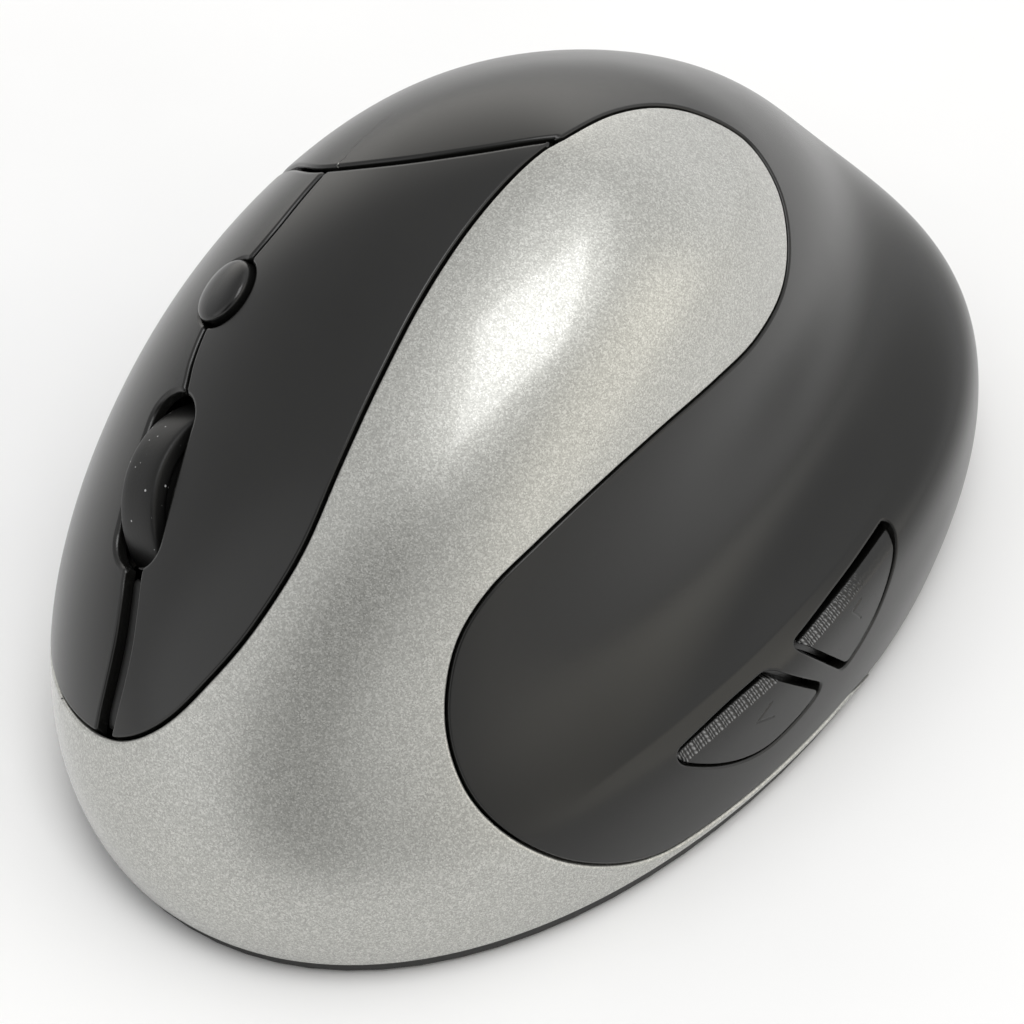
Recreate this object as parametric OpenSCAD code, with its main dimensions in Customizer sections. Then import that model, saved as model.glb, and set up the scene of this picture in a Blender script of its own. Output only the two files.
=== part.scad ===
// Right-handed ergonomic computer mouse, wireless, in millimetres.
// The nose points to -Y, the thumb side is +X, and the feet stand on z = 0.

/* [Body] */
// Overall length, nose to tail
body_l = 116; // [115:0.5:118]
// Overall width across the footprint, thumb side to little-finger side
body_w = 75.6; // [75:0.2:77]
// Height of the crown
body_h = 59.2; // [58.7:0.25:60.7]
// Wall thickness of the housing panels
shell_wall = 1.8; // [1.6:0.1:2]
// Gap between neighbouring housing panels
panel_gap = 0.4; // [0.3:0.05:0.5]
// Extra gap where the rear shell overhangs the keys
rear_gap = 0.5; // [0.3:0.1:0.7]

/* [Scroll wheel] */
// Outer diameter of the tyre
wheel_d = 20; // [19.4:0.2:20.2]
// Width of the tyre
wheel_w = 5.2; // [4.8:0.2:5.6]
// How far the tyre stands proud of the keys
wheel_proud = 1.6; // [1.4:0.1:1.9]
// Diameter of the wheel's axle
axle_d = 2.4; // [2.2:0.1:2.6]

/* [Buttons] */
// Length of the oval resolution button
oval_l = 6.9; // [6.5:0.2:7.3]
// Width of the oval resolution button
oval_w = 6.3; // [5.9:0.2:6.7]
// How far the side buttons sit below the ledge
side_recess = 0.5; // [0.3:0.1:0.7]
// Diameter of the pin that both keys hinge on
hinge_pin_d = 2; // [1.8:0.1:2.2]

/* [Base] */
// Thickness of the glide feet below the base plate
foot_h = 0.6; // [0.5:0.05:0.7]
// Thickness of the base plate
base_t = 1.2; // [1.1:0.05:1.3]
// Diameter of one battery cell
cell_d = 10.5; // [10:0.1:10.5]
// Length of one battery cell
cell_l = 44; // [43.5:0.1:44.5]

/* [Smoothness] */
// Facets around the dome
dome_round = 72; // [48:8:88]
// Facets from the rim to the crown
dome_rise = 28; // [20:2:34]

/* [Hidden] */

EPS = 0.01;
BIG = 200;
rim_z = foot_h + base_t + 0.2;
pole_xy = [3, 6];
plan_power = 2 / 2.05;

// ---------------------------------------------------------------- dome ----
// Profiles of the housing, one row for every 45 degrees round the footprint,
// starting at the thumb side and going by the tail. Each pair is the distance
// from the crown's axis as a share of the footprint, and the height.
profiles = [
    [[.975, 2], [.99, 6], [.985, 12.5], [.965, 17.5], [.86, 19.5],
     [.63, 23], [.56, 35], [.51, 47], [.33, 57]],
    [[1, 2], [1.045, 6], [1.05, 12], [1.02, 17.5], [.92, 20],
     [.7, 24], [.62, 34], [.54, 44], [.33, 55]],
    [[.985, 2], [1.01, 6], [1.01, 12], [.97, 18], [.9, 24],
     [.8, 31], [.68, 39], [.52, 47], [.3, 55]],
    [[.985, 2], [1.01, 7], [1.01, 14], [.975, 20.5], [.92, 27.5],
     [.83, 35.5], [.7, 43.5], [.53, 50.5], [.3, 57]],
    [[.985, 2], [1.02, 7], [1.03, 14], [1.015, 21], [.97, 29],
     [.885, 37.8], [.75, 46.5], [.56, 53.5], [.3, 58]],
    [[.975, 2], [1.01, 6], [1.02, 12], [1, 18], [.955, 25],
     [.855, 34], [.69, 43.8], [.485, 51.8], [.26, 57.4]],
    [[.97, 2], [.99, 5], [.985, 10.5], [.945, 17], [.875, 24],
     [.76, 33.5], [.61, 43], [.43, 51], [.22, 57.3]],
    [[.975, 2], [.99, 5], [.98, 11], [.935, 16], [.84, 20.5],
     [.72, 29], [.61, 40], [.47, 49.5], [.26, 57]]
];
levels = len(profiles[0]);
// Share of an inward offset that goes sideways and downwards at each level
inset_side = [1, 1, 1, .95, .9, .9, .8, .7, .5, 0];
inset_down = [0, 0, .2, .6, .95, .8, .75, .85, 1, 1];

// Weight of profile k at angle a, so that the eight blend in one smooth wave
function blend(a, k) =
    let (d = a - 45 * k)
    (1 + 2 * (cos(d) + cos(2 * d) + cos(3 * d)) + cos(4 * d)) / 8;
function around(a, level, item) =
    [for (k = [0:7]) blend(a, k) * profiles[k][level][item]] * [for (k = [0:7]) 1];

// Clamped cubic B-spline weights for a run of n control values
function knot(i, n) = max(0, min(1, (i - 3) / (n - 3)));
function ratio(a, b) = b == 0 ? 0 : a / b;
function bspline(i, d, t, n) =
    d == 0
        ? ((t >= knot(i, n) && t < knot(i + 1, n)) ? 1 : 0)
        : ratio(t - knot(i, n), knot(i + d, n) - knot(i, n)) * bspline(i, d - 1, t, n)
          + ratio(knot(i + d + 1, n) - t, knot(i + d + 1, n) - knot(i + 1, n))
          * bspline(i + 1, d - 1, t, n);

// Footprint: a slightly squared ellipse
function signed_power(v, p) = sign(v) * pow(abs(v), p);
function footprint(a) = [
    body_w / 2 * signed_power(cos(a), plan_power),
    body_l / 2 * signed_power(sin(a), plan_power)
];

// Control points of one profile, drawn in by an inset
function rib_control(a, inset) =
    let (reach = norm(footprint(a) - pole_xy))
    [for (i = [0:levels])
        i < levels
            ? [around(a, i, 0) - inset * inset_side[i] / reach,
               around(a, i, 1) * (i < 3 ? 1 : body_h / 59.2) - inset * inset_down[i]]
            : [0, body_h + crown_dip - inset]];

// The eight profiles meet in a point, which this rounds off, at distance r from it
crown_slope = 0.196;
crown_r = 4;
crown_dip = 0.334;
crown_reach = 18;
crown_lift = crown_slope * crown_r - crown_dip;
function crown(r) =
    crown_slope * (r - sqrt(r * r + crown_r * crown_r))
    + crown_lift * pow(max(0, 1 - r * r / (crown_reach * crown_reach)), 2);

function dome_rings(inset, around_n, rise_n) =
    let (
        weights = [for (j = [0:rise_n]) let (t = min(j / rise_n, 1 - 1e-9))
            [for (i = [0:levels]) bspline(i, 3, t, levels + 1)]],
        ribs = [for (m = [0:around_n - 1]) rib_control(m * 360 / around_n, inset)],
        feet = [for (m = [0:around_n - 1]) footprint(m * 360 / around_n) - pole_xy]
    )
    [for (j = [0:rise_n - 1]) [for (m = [0:around_n - 1])
        let (v = weights[j] * ribs[m], out = v[0] * feet[m])
        [pole_xy[0] + out[0], pole_xy[1] + out[1], v[1] + crown(norm(out))]]];

// Closed dome whose skin lies an inset inside the housing's outer surface
module dome(inset = 0, around_n = dome_round, rise_n = dome_rise, floor_z = rim_z) {
    rings = dome_rings(inset, around_n, rise_n);
    base_ring = [for (p = rings[0]) [p[0], p[1], floor_z - 4]];
    all_rings = concat([base_ring], rings);
    count = len(all_rings);
    points = concat(
        [for (r = all_rings) for (p = r) p],
        [[pole_xy[0], pole_xy[1], body_h - inset], [pole_xy[0], pole_xy[1], floor_z - 4]]
    );
    crown = count * around_n;
    faces = concat(
        [for (j = [0:count - 2]) for (m = [0:around_n - 1])
            let (a = j * around_n + m, b = j * around_n + (m + 1) % around_n)
            [a, a + around_n, b + around_n]],
        [for (j = [0:count - 2]) for (m = [0:around_n - 1])
            let (a = j * around_n + m, b = j * around_n + (m + 1) % around_n)
            [a, b + around_n, b]],
        [for (m = [0:around_n - 1])
            [(count - 1) * around_n + m, crown, (count - 1) * around_n + (m + 1) % around_n]],
        [for (m = [0:around_n - 1]) [m, (m + 1) % around_n, crown + 1]]
    );
    polyhedron(points, faces, convexity = 6);
}

// Housing wall, or any layer between two insets, above the rim
module layer(from = 0, to = shell_wall, floor_z = rim_z) {
    difference() {
        dome(from);
        dome(to, round(dome_round * 0.6), round(dome_rise * 0.7));
        translate([-BIG / 2, -BIG / 2, -BIG])
            cube([BIG, BIG, BIG + floor_z]);
    }
}

// Outline of the rim, drawn in by an inset
function rim_outline(inset) =
    [for (m = [0:dome_round - 1])
        let (a = m * 360 / dome_round, foot = footprint(a) - pole_xy)
        pole_xy + foot * (around(a, 0, 0) - inset / norm(foot))];

// -------------------------------------------------------------- curves ----
// Smooth curve through a list of points
function catmull(a, b, c, d, u) =
    b + 0.5 * u * ((c - a) + u * ((2 * a - 5 * b + 4 * c - d) + u * (3 * b - a - 3 * c + d)));
function curve(p, steps = 5) =
    let (n = len(p))
    concat(
        [for (i = [0:n - 2]) for (k = [0:steps - 1])
            catmull(p[max(i - 1, 0)], p[i], p[i + 1], p[min(i + 2, n - 1)], k / steps)],
        [p[n - 1]]
    );
function reversed(p) = [for (i = [len(p) - 1:-1:0]) p[i]];

// The silver panel is split from the thumb side along the line seen from the
// thumb-front corner; the keys are split along the line seen square to them.
view_tilt = [43, 0, 36];
key_tilt = [43, -22, -14];
module facing_corner() rotate(view_tilt) children();
module on_keys() rotate(key_tilt) children();

// Edge between silver tongue and thumb side, in the corner-facing plane
tongue_edge = [
    [4, 44.5], [8.7, 47.2], [13.4, 48.3], [18, 47.6], [22.6, 45.1], [25.6, 40.5], [26.6, 35.2],
    [25.9, 30], [23.2, 25.2], [19.2, 21.2], [13.3, 16.1], [7.6, 11], [1.7, 5.5], [-2.8, 1],
    [-5.7, -3.6], [-6.9, -8.8], [-6.6, -13.9], [-4.7, -18.7], [-1.2, -22.4], [3.6, -25.1],
    [8.4, -26.1], [12.8, -25.7], [17, -23.8], [24.2, -18.8], [31.4, -12.4], [38.5, -5], [42, 0]
];
// Front and outer edge of the two keys, in the key plane
key_front = [
    [20.3, 43], [20.6, 38], [21.4, 30.5], [22.5, 22.5], [23.4, 14.5], [24, 5.5], [23.8, -3.5],
    [21.6, -12.3], [18.3, -19.4], [15.2, -24], [11.5, -26.9], [7.4, -28], [2, -27.5],
    [-4.2, -25.5], [-12, -21], [-18, -13], [-22.3, -4], [-25, 4], [-26.3, 11], [-25.9, 18]
];
// Rear edge of the two keys, under the lip of the main shell
key_rear = [
    [-25.9, 18], [-24, 23], [-19.6, 26.6], [-14, 29], [-7, 30.5], [0, 31.2], [8, 34.2],
    [15, 38.5], [20.3, 43]
];
// Edge of the silver skirt on the little-finger side, as [y, z]
skirt_edge = [
    [-45, 25], [-38.5, 16], [-34, 12], [-28, 8.6], [-22, 5.7], [-16, 3.7], [-10, 2.6], [-4, 1.4]
];
// Line between the keys, in the key plane
seam_line = [
    [0.9, 34], [1.9, 25], [1.4, 19], [1.3, 13], [2.2, 9], [3.8, 5], [5.3, -3], [6.7, -11.5],
    [7.6, -15], [8.3, -19], [8.2, -23.5], [7.2, -30]
];
skirt_x = -20;

// Far side of the tongue, out beyond the body and back under the keys
tongue_far = [[42, -80], [-90, -80], [-90, 38], [-28, 38], [-15, 40], [-6, 41.3], [0, 42.6]];

module keys_outline() polygon(concat(curve(key_front), curve(key_rear)));
module tongue_outline() polygon(concat(curve(tongue_edge), tongue_far));
module skirt_outline() polygon(concat(curve(skirt_edge), [[-4, -8], [-80, -8], [-80, 25]]));

// Space taken by the keys, grown by an offset; the rear edge gets its lip gap
module keys_space(grow, rear = 0)
    on_keys() linear_extrude(80) union() {
        offset(delta = grow) keys_outline();
        if (rear > 0) offset(delta = grow) translate([0, rear]) intersection() {
            keys_outline();
            translate([-60, 12]) square([120, 60]);
        }
    }
// Space taken by the silver panel and everything in front of it
module silver_space(grow) {
    intersection() {
        facing_corner() linear_extrude(80) offset(delta = grow) tongue_outline();
        translate([skirt_x, -BIG / 2, -BIG / 2]) cube(BIG);
    }
    intersection() {
        rotate([90, 0, 90]) translate([0, 0, -80]) linear_extrude(80 + skirt_x + 0.1)
            offset(delta = grow) skirt_outline();
        translate([-BIG + skirt_x + 0.1, -BIG / 2, -BIG / 2]) cube(BIG);
    }
}

// ---------------------------------------------------------- key fittings ----
// Heights above the origin, square to the keys
deck_z = 32.8;
deck_t = 2;
key_board_z = 35.8;
board_t = 1.6;
switch_z = key_board_z + board_t;
switch_h = 6.4;
plunger_h = 0.7;
switch_top = switch_z + switch_h;
plunger_top = switch_top + plunger_h;
arm_z = plunger_top + 0.15;
hinge = [31, 38];
key_skin_z = 53.2;

wheel_at = [4.6, -3.1];
wheel_twist = 11;
wheel_z = key_skin_z + wheel_proud - wheel_d / 2;
module on_wheel() on_keys()
    translate([wheel_at[0], wheel_at[1], wheel_z]) rotate([0, 0, wheel_twist]) children();

oval_at = [1.2, 16.35];
oval_skin_z = 51.4;
left_switch_at = [19, -2];
right_switch_at = [-9.4, 3];
middle_switch_at = [9.6, 12];
tact_h = 3.5;
tact_top = switch_z + tact_h;

slot = [6.6, 17.9];
slot_r = 3.2;
module slot_outline(grow = 0) translate(wheel_at) rotate(wheel_twist)
    offset(r = slot_r + grow) square([slot[0] - 2 * slot_r, slot[1] - 2 * slot_r], center = true);
module oval_outline(grow = 0) translate(oval_at)
    scale([(oval_w + 2 * grow) / 10, (oval_l + 2 * grow) / 10]) circle(d = 10, $fn = 40);
// Band along the seam: side -1 is the right key's half, 1 the left key's half
module seam_band(half) {
    line = curve(seam_line, 4);
    polygon(concat(
        [for (p = line) p - [half, 0]],
        reversed([for (p = line) p + [half, 0]])
    ));
}
module seam_half(side, shift) {
    line = curve(seam_line, 4);
    polygon(concat([for (p = line) p + [side * shift, 0]], [[side * 80, -50], [side * 80, 60]]));
}
// The rib lies in the seam in front of the wheel
rib_half = 0.8;
module rib_outline(half, rear_y = -12.7) intersection() {
    seam_band(half);
    translate([-20, -40]) square([60, 40 + rear_y]);
}

// Wall of the keys, thinner round the wheel so that the tyre has its room
module key_wall() difference() {
    layer();
    intersection() {
        dome(0.8, 48, 20);
        on_keys() linear_extrude(90) slot_outline(1);
    }
}
module key(side) resize([0, 0, 0]) intersection() {
    key_wall();
    difference() {
        keys_space(-panel_gap / 2);
        on_keys() linear_extrude(90) union() {
            slot_outline();
            oval_outline(0.35);
            rib_outline(rib_half + panel_gap, -11.5);
        }
    }
    on_keys() linear_extrude(90) seam_half(side, panel_gap / 2);
}
module left_key() color([.06, .06, .06]) key(1);
module right_key() color([.06, .06, .06]) key(-1);

// Lever under a key: a bar from the hinge to the switch, with two pads that hold the key
module key_arm(s_low, s_high, profile, barrel) {
    web_low = min(barrel[0], s_low) + 0.2;
    web_high = max(barrel[0] + barrel[1], s_high) - 0.2;
    difference() {
        union() {
            translate([s_low, 0, 0]) rotate([90, 0, 90])
                linear_extrude(s_high - s_low) polygon(profile);
            translate([barrel[0], hinge[0], hinge[1]]) rotate([0, 90, 0])
                cylinder(d = 4.2, h = barrel[1], $fn = 40);
            translate([web_low, hinge[0] - 4, hinge[1] - 1]) cube([web_high - web_low, 3.2, 2]);
        }
        translate([-30, hinge[0], hinge[1]]) rotate([0, 90, 0])
            cylinder(d = hinge_pin_d + 0.1, h = 60, $fn = 40);
    }
}
left_arm_profile = [
    [-6, arm_z], [4, arm_z], [18, 42], [29, 37.2], [29, 38.8], [20, 43.6], [6, 46.4], [-6, 46.4]
];
right_arm_profile = [
    [-2, arm_z], [9, arm_z], [20, 41.6], [28, 37.2], [28, 38.8], [20, 43], [9, 45.9], [-2, 45.9]
];
// Pad that reaches from the lever to the inside of the key, with a slight press
pad_bite = 0.15;
module arm_pad(corner, size) intersection() {
    on_keys() translate(corner) cube([size[0], size[1], 20]);
    dome(shell_wall - pad_bite, 48, 20);
}
module left_key_arm() color([.2, .2, .2]) resize([0, 0, 0]) union() {
    on_keys() key_arm(16.6, 20.6, left_arm_profile, [16.2, 3.8]);
    arm_pad([17, -2, 46], [3, 4]);
    arm_pad([17, 20, 42.8], [3, 3]);
}
module right_key_arm() color([.2, .2, .2]) resize([0, 0, 0]) union() {
    on_keys() key_arm(-11, -7.6, right_arm_profile, [-6, 4.6]);
    arm_pad([-9.6, -1.5, 45.5], [2, 3]);
    arm_pad([-9.6, 19, 42], [2, 2.5]);
}

hinge_ears = [-1, 4, 13];
pin_from = -6.6;
pin_l = 27.4;
module key_hinge_pin() color([.75, .75, .77]) on_keys()
    translate([pin_from, hinge[0], hinge[1]]) rotate([0, 90, 0])
        cylinder(d = hinge_pin_d, h = pin_l, $fn = 40);

// Deck that carries the key board, on three legs
deck_outline = [
    [-12.6, -6], [-3, -13], [4.6, -14], [4.6, -25], [11.6, -25], [11.6, -14], [20, -14],
    [22, -4], [22, 18], [16, 28], [-9, 28], [-12.6, 22]
];
legs = [[-19, -20], [0, -32], [-19, -1]];
post_top = 4.6;
module wheel_window() on_wheel() translate([0, 0, -BIG / 2 + 2])
    linear_extrude(BIG / 2) square([8.6, 18], center = true);
guide_pins = [[-7.6, 8.4], [7.8, -8]];
guide_top = 2.8;
module key_frame() color([.25, .25, .26]) difference() {
    union() {
        on_keys() translate([0, 0, deck_z]) linear_extrude(deck_t) polygon(deck_outline);
        intersection() {
            for (p = legs) translate([p[0], p[1], post_top + 0.1]) cylinder(d = 5.6, h = 40, $fn = 36);
            on_keys() translate([-BIG / 2, -BIG / 2, -BIG + deck_z + 0.5]) cube(BIG);
        }
        on_keys() for (s = hinge_ears)
            translate([s, 26, deck_z]) cube([2, 7, hinge[1] - deck_z + 2]);
        on_keys() for (p = [[-10.5, -3], [19.8, -10], [12, 24.5], [-8, 18]])
            translate([p[0], p[1], deck_z]) cylinder(d = 3.4, h = key_board_z - deck_z, $fn = 24);
        on_wheel() for (p = guide_pins)
            translate([p[0], p[1], deck_z + 1 - wheel_z])
                cylinder(d = 2, h = wheel_z - deck_z - 1 + guide_top, $fn = 32);
    }
    for (p = legs) translate([p[0], p[1], 0]) cylinder(d = 2.2, h = post_top + 7, $fn = 32);
    on_keys() translate([-20, hinge[0], hinge[1]]) rotate([0, 90, 0])
        cylinder(d = hinge_pin_d + 0.04, h = 50, $fn = 40);
    wheel_window();
}

// Rib between the keys, from the wheel to the nose, on a web that stands on the deck
module centre_rib() color([.05, .05, .05]) resize([0, 0, 0]) union() {
    intersection() {
        layer(0.5, 3.2);
        on_keys() linear_extrude(90) rib_outline(rib_half);
        keys_space(-panel_gap / 2);
    }
    intersection() {
        dome(1);
        on_keys() translate([0, 0, deck_z + deck_t]) linear_extrude(60) intersection() {
            rib_outline(rib_half - 0.2);
            translate([-20, -24.5]) square([60, 7.5]);
        }
    }
}

key_board_outline = [
    [-13, -5], [-3, -12.4], [20, -12.4], [22, -4], [22, 18], [16, 25.4], [-4, 25.4], [-13, 18]
];
module key_board() color([.1, .35, .2]) difference() {
    on_keys() translate([0, 0, key_board_z]) linear_extrude(board_t) polygon(key_board_outline);
    wheel_window();
    on_wheel() for (p = guide_pins) translate([p[0], p[1], -20]) cylinder(d = 2.6, h = 22, $fn = 32);
}

// Snap-action switch body and its plunger
module switch_body() {
    difference() {
        union() {
            translate([-2.9, -6.4, 0]) cube([5.8, 12.8, 5.4]);
            translate([-2.6, -6.1, 5.4]) cube([5.2, 12.2, 1]);
        }
        translate([-0.8, 1, 4.6]) cube([1.6, 2.4, 2]);
    }
}
plunger_gap = 0.08;
module switch_plunger() translate([-0.8 + plunger_gap, 1 + plunger_gap, 5.3])
    cube([1.6 - 2 * plunger_gap, 2.4 - 2 * plunger_gap, 1.1 + plunger_h]);
module tact_body() difference() {
    translate([-3, -3, 0]) cube([6, 6, tact_h]);
    translate([0, 0, 1.9]) cylinder(d = 3.5, h = 3, $fn = 32);
}
tact_proud = 0.8;
module tact_plunger() translate([0, 0, 2.7])
    cylinder(d = 3.3, h = tact_h - 2.7 + tact_proud, $fn = 32);

module at_switch(p) on_keys() translate([p[0], p[1], switch_z]) children();
module at_middle() on_wheel()
    translate([middle_switch_at[0], middle_switch_at[1], switch_z - wheel_z]) children();
module left_switch() color([.15, .15, .16]) at_switch(left_switch_at) switch_body();
module right_switch() color([.15, .15, .16]) at_switch(right_switch_at) switch_body();
module middle_switch() color([.15, .15, .16]) at_middle() switch_body();
module oval_switch() color([.15, .15, .16]) at_switch(oval_at) tact_body();
module left_plunger() color("white") at_switch(left_switch_at) switch_plunger();
module right_plunger() color("white") at_switch(right_switch_at) switch_plunger();
module middle_plunger() color("white") at_middle() switch_plunger();
module oval_plunger() color("black") at_switch(oval_at) tact_plunger();

// The oval button's top follows the keys' skin, a little proud of it
oval_proud = 1.05;
module oval_cap(proud, grow) intersection() {
    dome(-proud);
    on_keys() translate([0, 0, oval_skin_z - 4.4]) linear_extrude(12) oval_outline(grow);
}
module oval_button() color([.08, .08, .08]) union() {
    hull() {
        oval_cap(oval_proud - 0.4, 0);
        oval_cap(oval_proud - 0.12, -0.15);
        oval_cap(oval_proud, -0.5);
    }
    on_keys() translate([0, 0, oval_skin_z - 5.1]) linear_extrude(0.8) oval_outline(0.7);
    on_keys() translate([oval_at[0], oval_at[1], tact_top + tact_proud + 0.1])
        cylinder(d = 2.6, h = oval_skin_z - 5 - tact_top - tact_proud, $fn = 32);
}

// -------------------------------------------------------------- wheel ----
hub_d = wheel_d - 4;
// Section of the tyre from its middle plane to one side, as [radius, width]
tyre_half = [
    [wheel_d / 2, 0], [wheel_d / 2 - 0.05, wheel_w * 0.25], [wheel_d / 2 - 0.15, wheel_w * 0.4],
    [wheel_d / 2 - 0.3, wheel_w / 2 - 0.25], [wheel_d / 2 - 0.6, wheel_w / 2 - 0.1],
    [wheel_d / 2 - 1.3, wheel_w / 2], [hub_d / 2, wheel_w / 2 - 0.4]
];
module wheel_tyre() color([.07, .07, .07]) on_wheel() rotate([0, 90, 0])
    rotate_extrude($fn = 96) polygon(concat(
        [for (p = tyre_half) p],
        reversed([for (p = tyre_half) if (p[1] > 0) [p[0], -p[1]]])
    ));
module wheel_hub() color([.16, .16, .17]) on_wheel() rotate([0, 90, 0]) difference() {
    union() {
        translate([0, 0, -wheel_w / 2 + 0.4]) cylinder(d = hub_d, h = wheel_w - 0.8, $fn = 96);
        translate([0, 0, -wheel_w / 2 - 0.8]) cylinder(d = 6, h = wheel_w + 1.6, $fn = 36);
    }
    translate([0, 0, -10]) cylinder(d = axle_d, h = 20, $fn = 36);
    for (a = [0:60:300]) rotate(a) translate([5.6, 0, -10]) cylinder(d = 3, h = 20, $fn = 24);
}
axle_from = -9.1;
axle_l = 15.6;
module wheel_axle() color([.8, .8, .8]) on_wheel() translate([axle_from, 0, 0])
    rotate([0, 90, 0]) cylinder(d = axle_d, h = axle_l, $fn = 36);

cradle_in = wheel_w / 2 + 1.3;
cradle_out = cradle_in + 1.5;
bar_z = plunger_top + 0.15 - wheel_z;
bar_h = 2;
module wheel_carrier() color([.12, .12, .13]) on_wheel() difference() {
    union() {
        for (side = [-1, 1]) translate([side > 0 ? cradle_in : -cradle_out, -4, -5.9])
            cube([cradle_out - cradle_in, 8, 8.3]);
        for (side = [-1, 1]) translate([side > 0 ? cradle_in : -cradle_out, 3.9, bar_z])
            cube([cradle_out - cradle_in, 9.6, bar_h]);
        translate([-cradle_out, 11.5, bar_z]) cube([cradle_out + 11, 3.6, bar_h]);
        translate([guide_pins[0][0] - 2.1, guide_pins[0][1] - 2.1, bar_z]) cube([4.6, 4.2, bar_h]);
        translate([guide_pins[1][0] - 2.6, guide_pins[1][1] - 2.1, bar_z]) cube([4.6, 4.2, bar_h]);
        translate([cradle_in, guide_pins[1][1] - 2.1, bar_z]) cube([cradle_out - cradle_in, 6.3, bar_h]);
    }
    translate([-10, 0, 0]) rotate([0, 90, 0]) cylinder(d = axle_d + 0.1, h = 20, $fn = 36);
    for (p = guide_pins) translate([p[0], p[1], -20]) cylinder(d = 2.12, h = 40, $fn = 32);
}
module wheel_encoder() color([.1, .25, .15]) on_wheel() difference() {
    translate([-cradle_out - 4.1, -5, -5.9]) cube([4.05, 10, 7.9]);
    translate([-12, 0, 0]) rotate([0, 90, 0]) cylinder(d = axle_d + 0.1, h = 10, $fn = 36);
}

// -------------------------------------------------------- side buttons ----
// Outlines of the two fins on the ledge, as [y, z]
forward_top = [[-20.3, 15.4], [-19.4, 16.2], [-13, 17.2], [-6.6, 17.6]];
forward_low = [
    [0.2, 10.4], [-1.6, 9.3], [-5, 8.6], [-8.6, 8.5], [-12, 9.5], [-15.5, 11.4], [-19, 14],
    [-20.3, 15.4]
];
back_top = [[-3.2, 17.8], [4, 18.4], [11, 18.7], [16.2, 18.8]];
back_low = [[16.2, 18.8], [15.2, 17.3], [13.2, 15], [10.2, 12.2], [7, 10.4], [3.6, 9.2]];
side_corner = 0.8;
module forward_outline() offset(r = side_corner) offset(delta = -side_corner)
    polygon(concat(curve(forward_top), curve(forward_low)));
module back_outline() offset(r = side_corner) offset(delta = -side_corner)
    polygon(concat(curve(back_top), curve(back_low)));
module from_side() rotate([90, 0, 90]) children();
module side_space(grow, from_x = 24) from_side() translate([0, 0, from_x])
    linear_extrude(30) offset(delta = grow) children();
side_gap = 0.3;
side_top_gap = 0.4;
side_board_x = 26.9;
side_board_t = 1.2;
side_plunger_x = side_board_x + side_board_t + tact_h + tact_proud;
side_skin = 2.6;
module side_button(stem) resize([0, 0, 0]) union() {
    intersection() {
        layer(side_recess, side_skin, 5);
        side_space(-side_gap) intersection() {
            children();
            translate([0, -side_top_gap]) children();
        }
    }
    intersection() {
        layer(shell_wall + 0.5, shell_wall + 1.3, 5);
        side_space(0.6, 33.2) children();
        translate([0, -40, 6]) cube([60, 80, 7.8]);
    }
    intersection() {
        dome(1.2);
        translate([side_plunger_x + 0.1, stem[0] - 1.2, stem[1] - 1.2]) cube([6, 2.4, 2.4]);
    }
}
forward_stem = [-9.5, 11.6];
back_stem = [5.5, 13];
module forward_button() color([.08, .08, .08]) side_button(forward_stem) forward_outline();
module back_button() color([.08, .08, .08]) side_button(back_stem) back_outline();

module side_board() color([.1, .35, .2]) translate([side_board_x, -18, rim_z + 0.6])
    cube([side_board_t, 33, 13]);
module at_side(stem) translate([side_board_x + side_board_t, stem[0], stem[1]])
    rotate([0, 90, 0]) children();
module forward_switch() color([.15, .15, .16]) at_side(forward_stem) tact_body();
module back_switch() color([.15, .15, .16]) at_side(back_stem) tact_body();
module forward_plunger() color("black") at_side(forward_stem) tact_plunger();
module back_plunger() color("black") at_side(back_stem) tact_plunger();

// ------------------------------------------------------------- housing ----
shell_posts = [[-20.4, 38.4], [21, 40], [25, -25]];
panel_posts = [[14, -42], [4, -49]];
module shell_post(p) intersection() {
    dome(0.9);
    translate([p[0], p[1], post_top + 0.1]) difference() {
        cylinder(d = 5.2, h = 60, $fn = 20);
        translate([0, 0, -1]) cylinder(d = 2.2, h = 10, $fn = 16);
    }
}
module main_shell() color([.05, .05, .05]) resize([0, 0, 0]) union() {
    difference() {
        layer();
        keys_space(panel_gap / 2, rear_gap);
        silver_space(panel_gap / 2);
        side_space(0) forward_outline();
        side_space(0) back_outline();
    }
    for (p = shell_posts) shell_post(p);
}
module silver_panel() color([.66, .66, .65]) resize([0, 0, 0]) union() {
    difference() {
        intersection() {
            layer();
            silver_space(-panel_gap / 2);
        }
        keys_space(panel_gap / 2);
    }
    for (p = panel_posts) shell_post(p);
}

// ---------------------------------------------------------------- base ----
plate_inset = 0.7;
lip_inset = shell_wall + 0.5;
lip_t = 1.2;
lip_top = 4.6;
plate_top = foot_h + base_t;
all_posts = concat(shell_posts, panel_posts, legs);
door = [-14, 12, 2];
door_w = door[1] - door[0];
cells_x = [-7.1, 5.1];
cells_y = [4, 4 + cell_l];
cell_z = plate_top + 0.5 + cell_d / 2;
tray_top = cell_z + cell_d / 2 + 0.6;
screw_head_d = 4.4;
screw_d = 2;
lens_at = [0, -12];
slider_at = [18, -10];
feet = [[[-11, -49], [11, -49], 5], [[-29, 14], [-27, 26], 6], [[29, 12], [28, 24], 6]];

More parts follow.
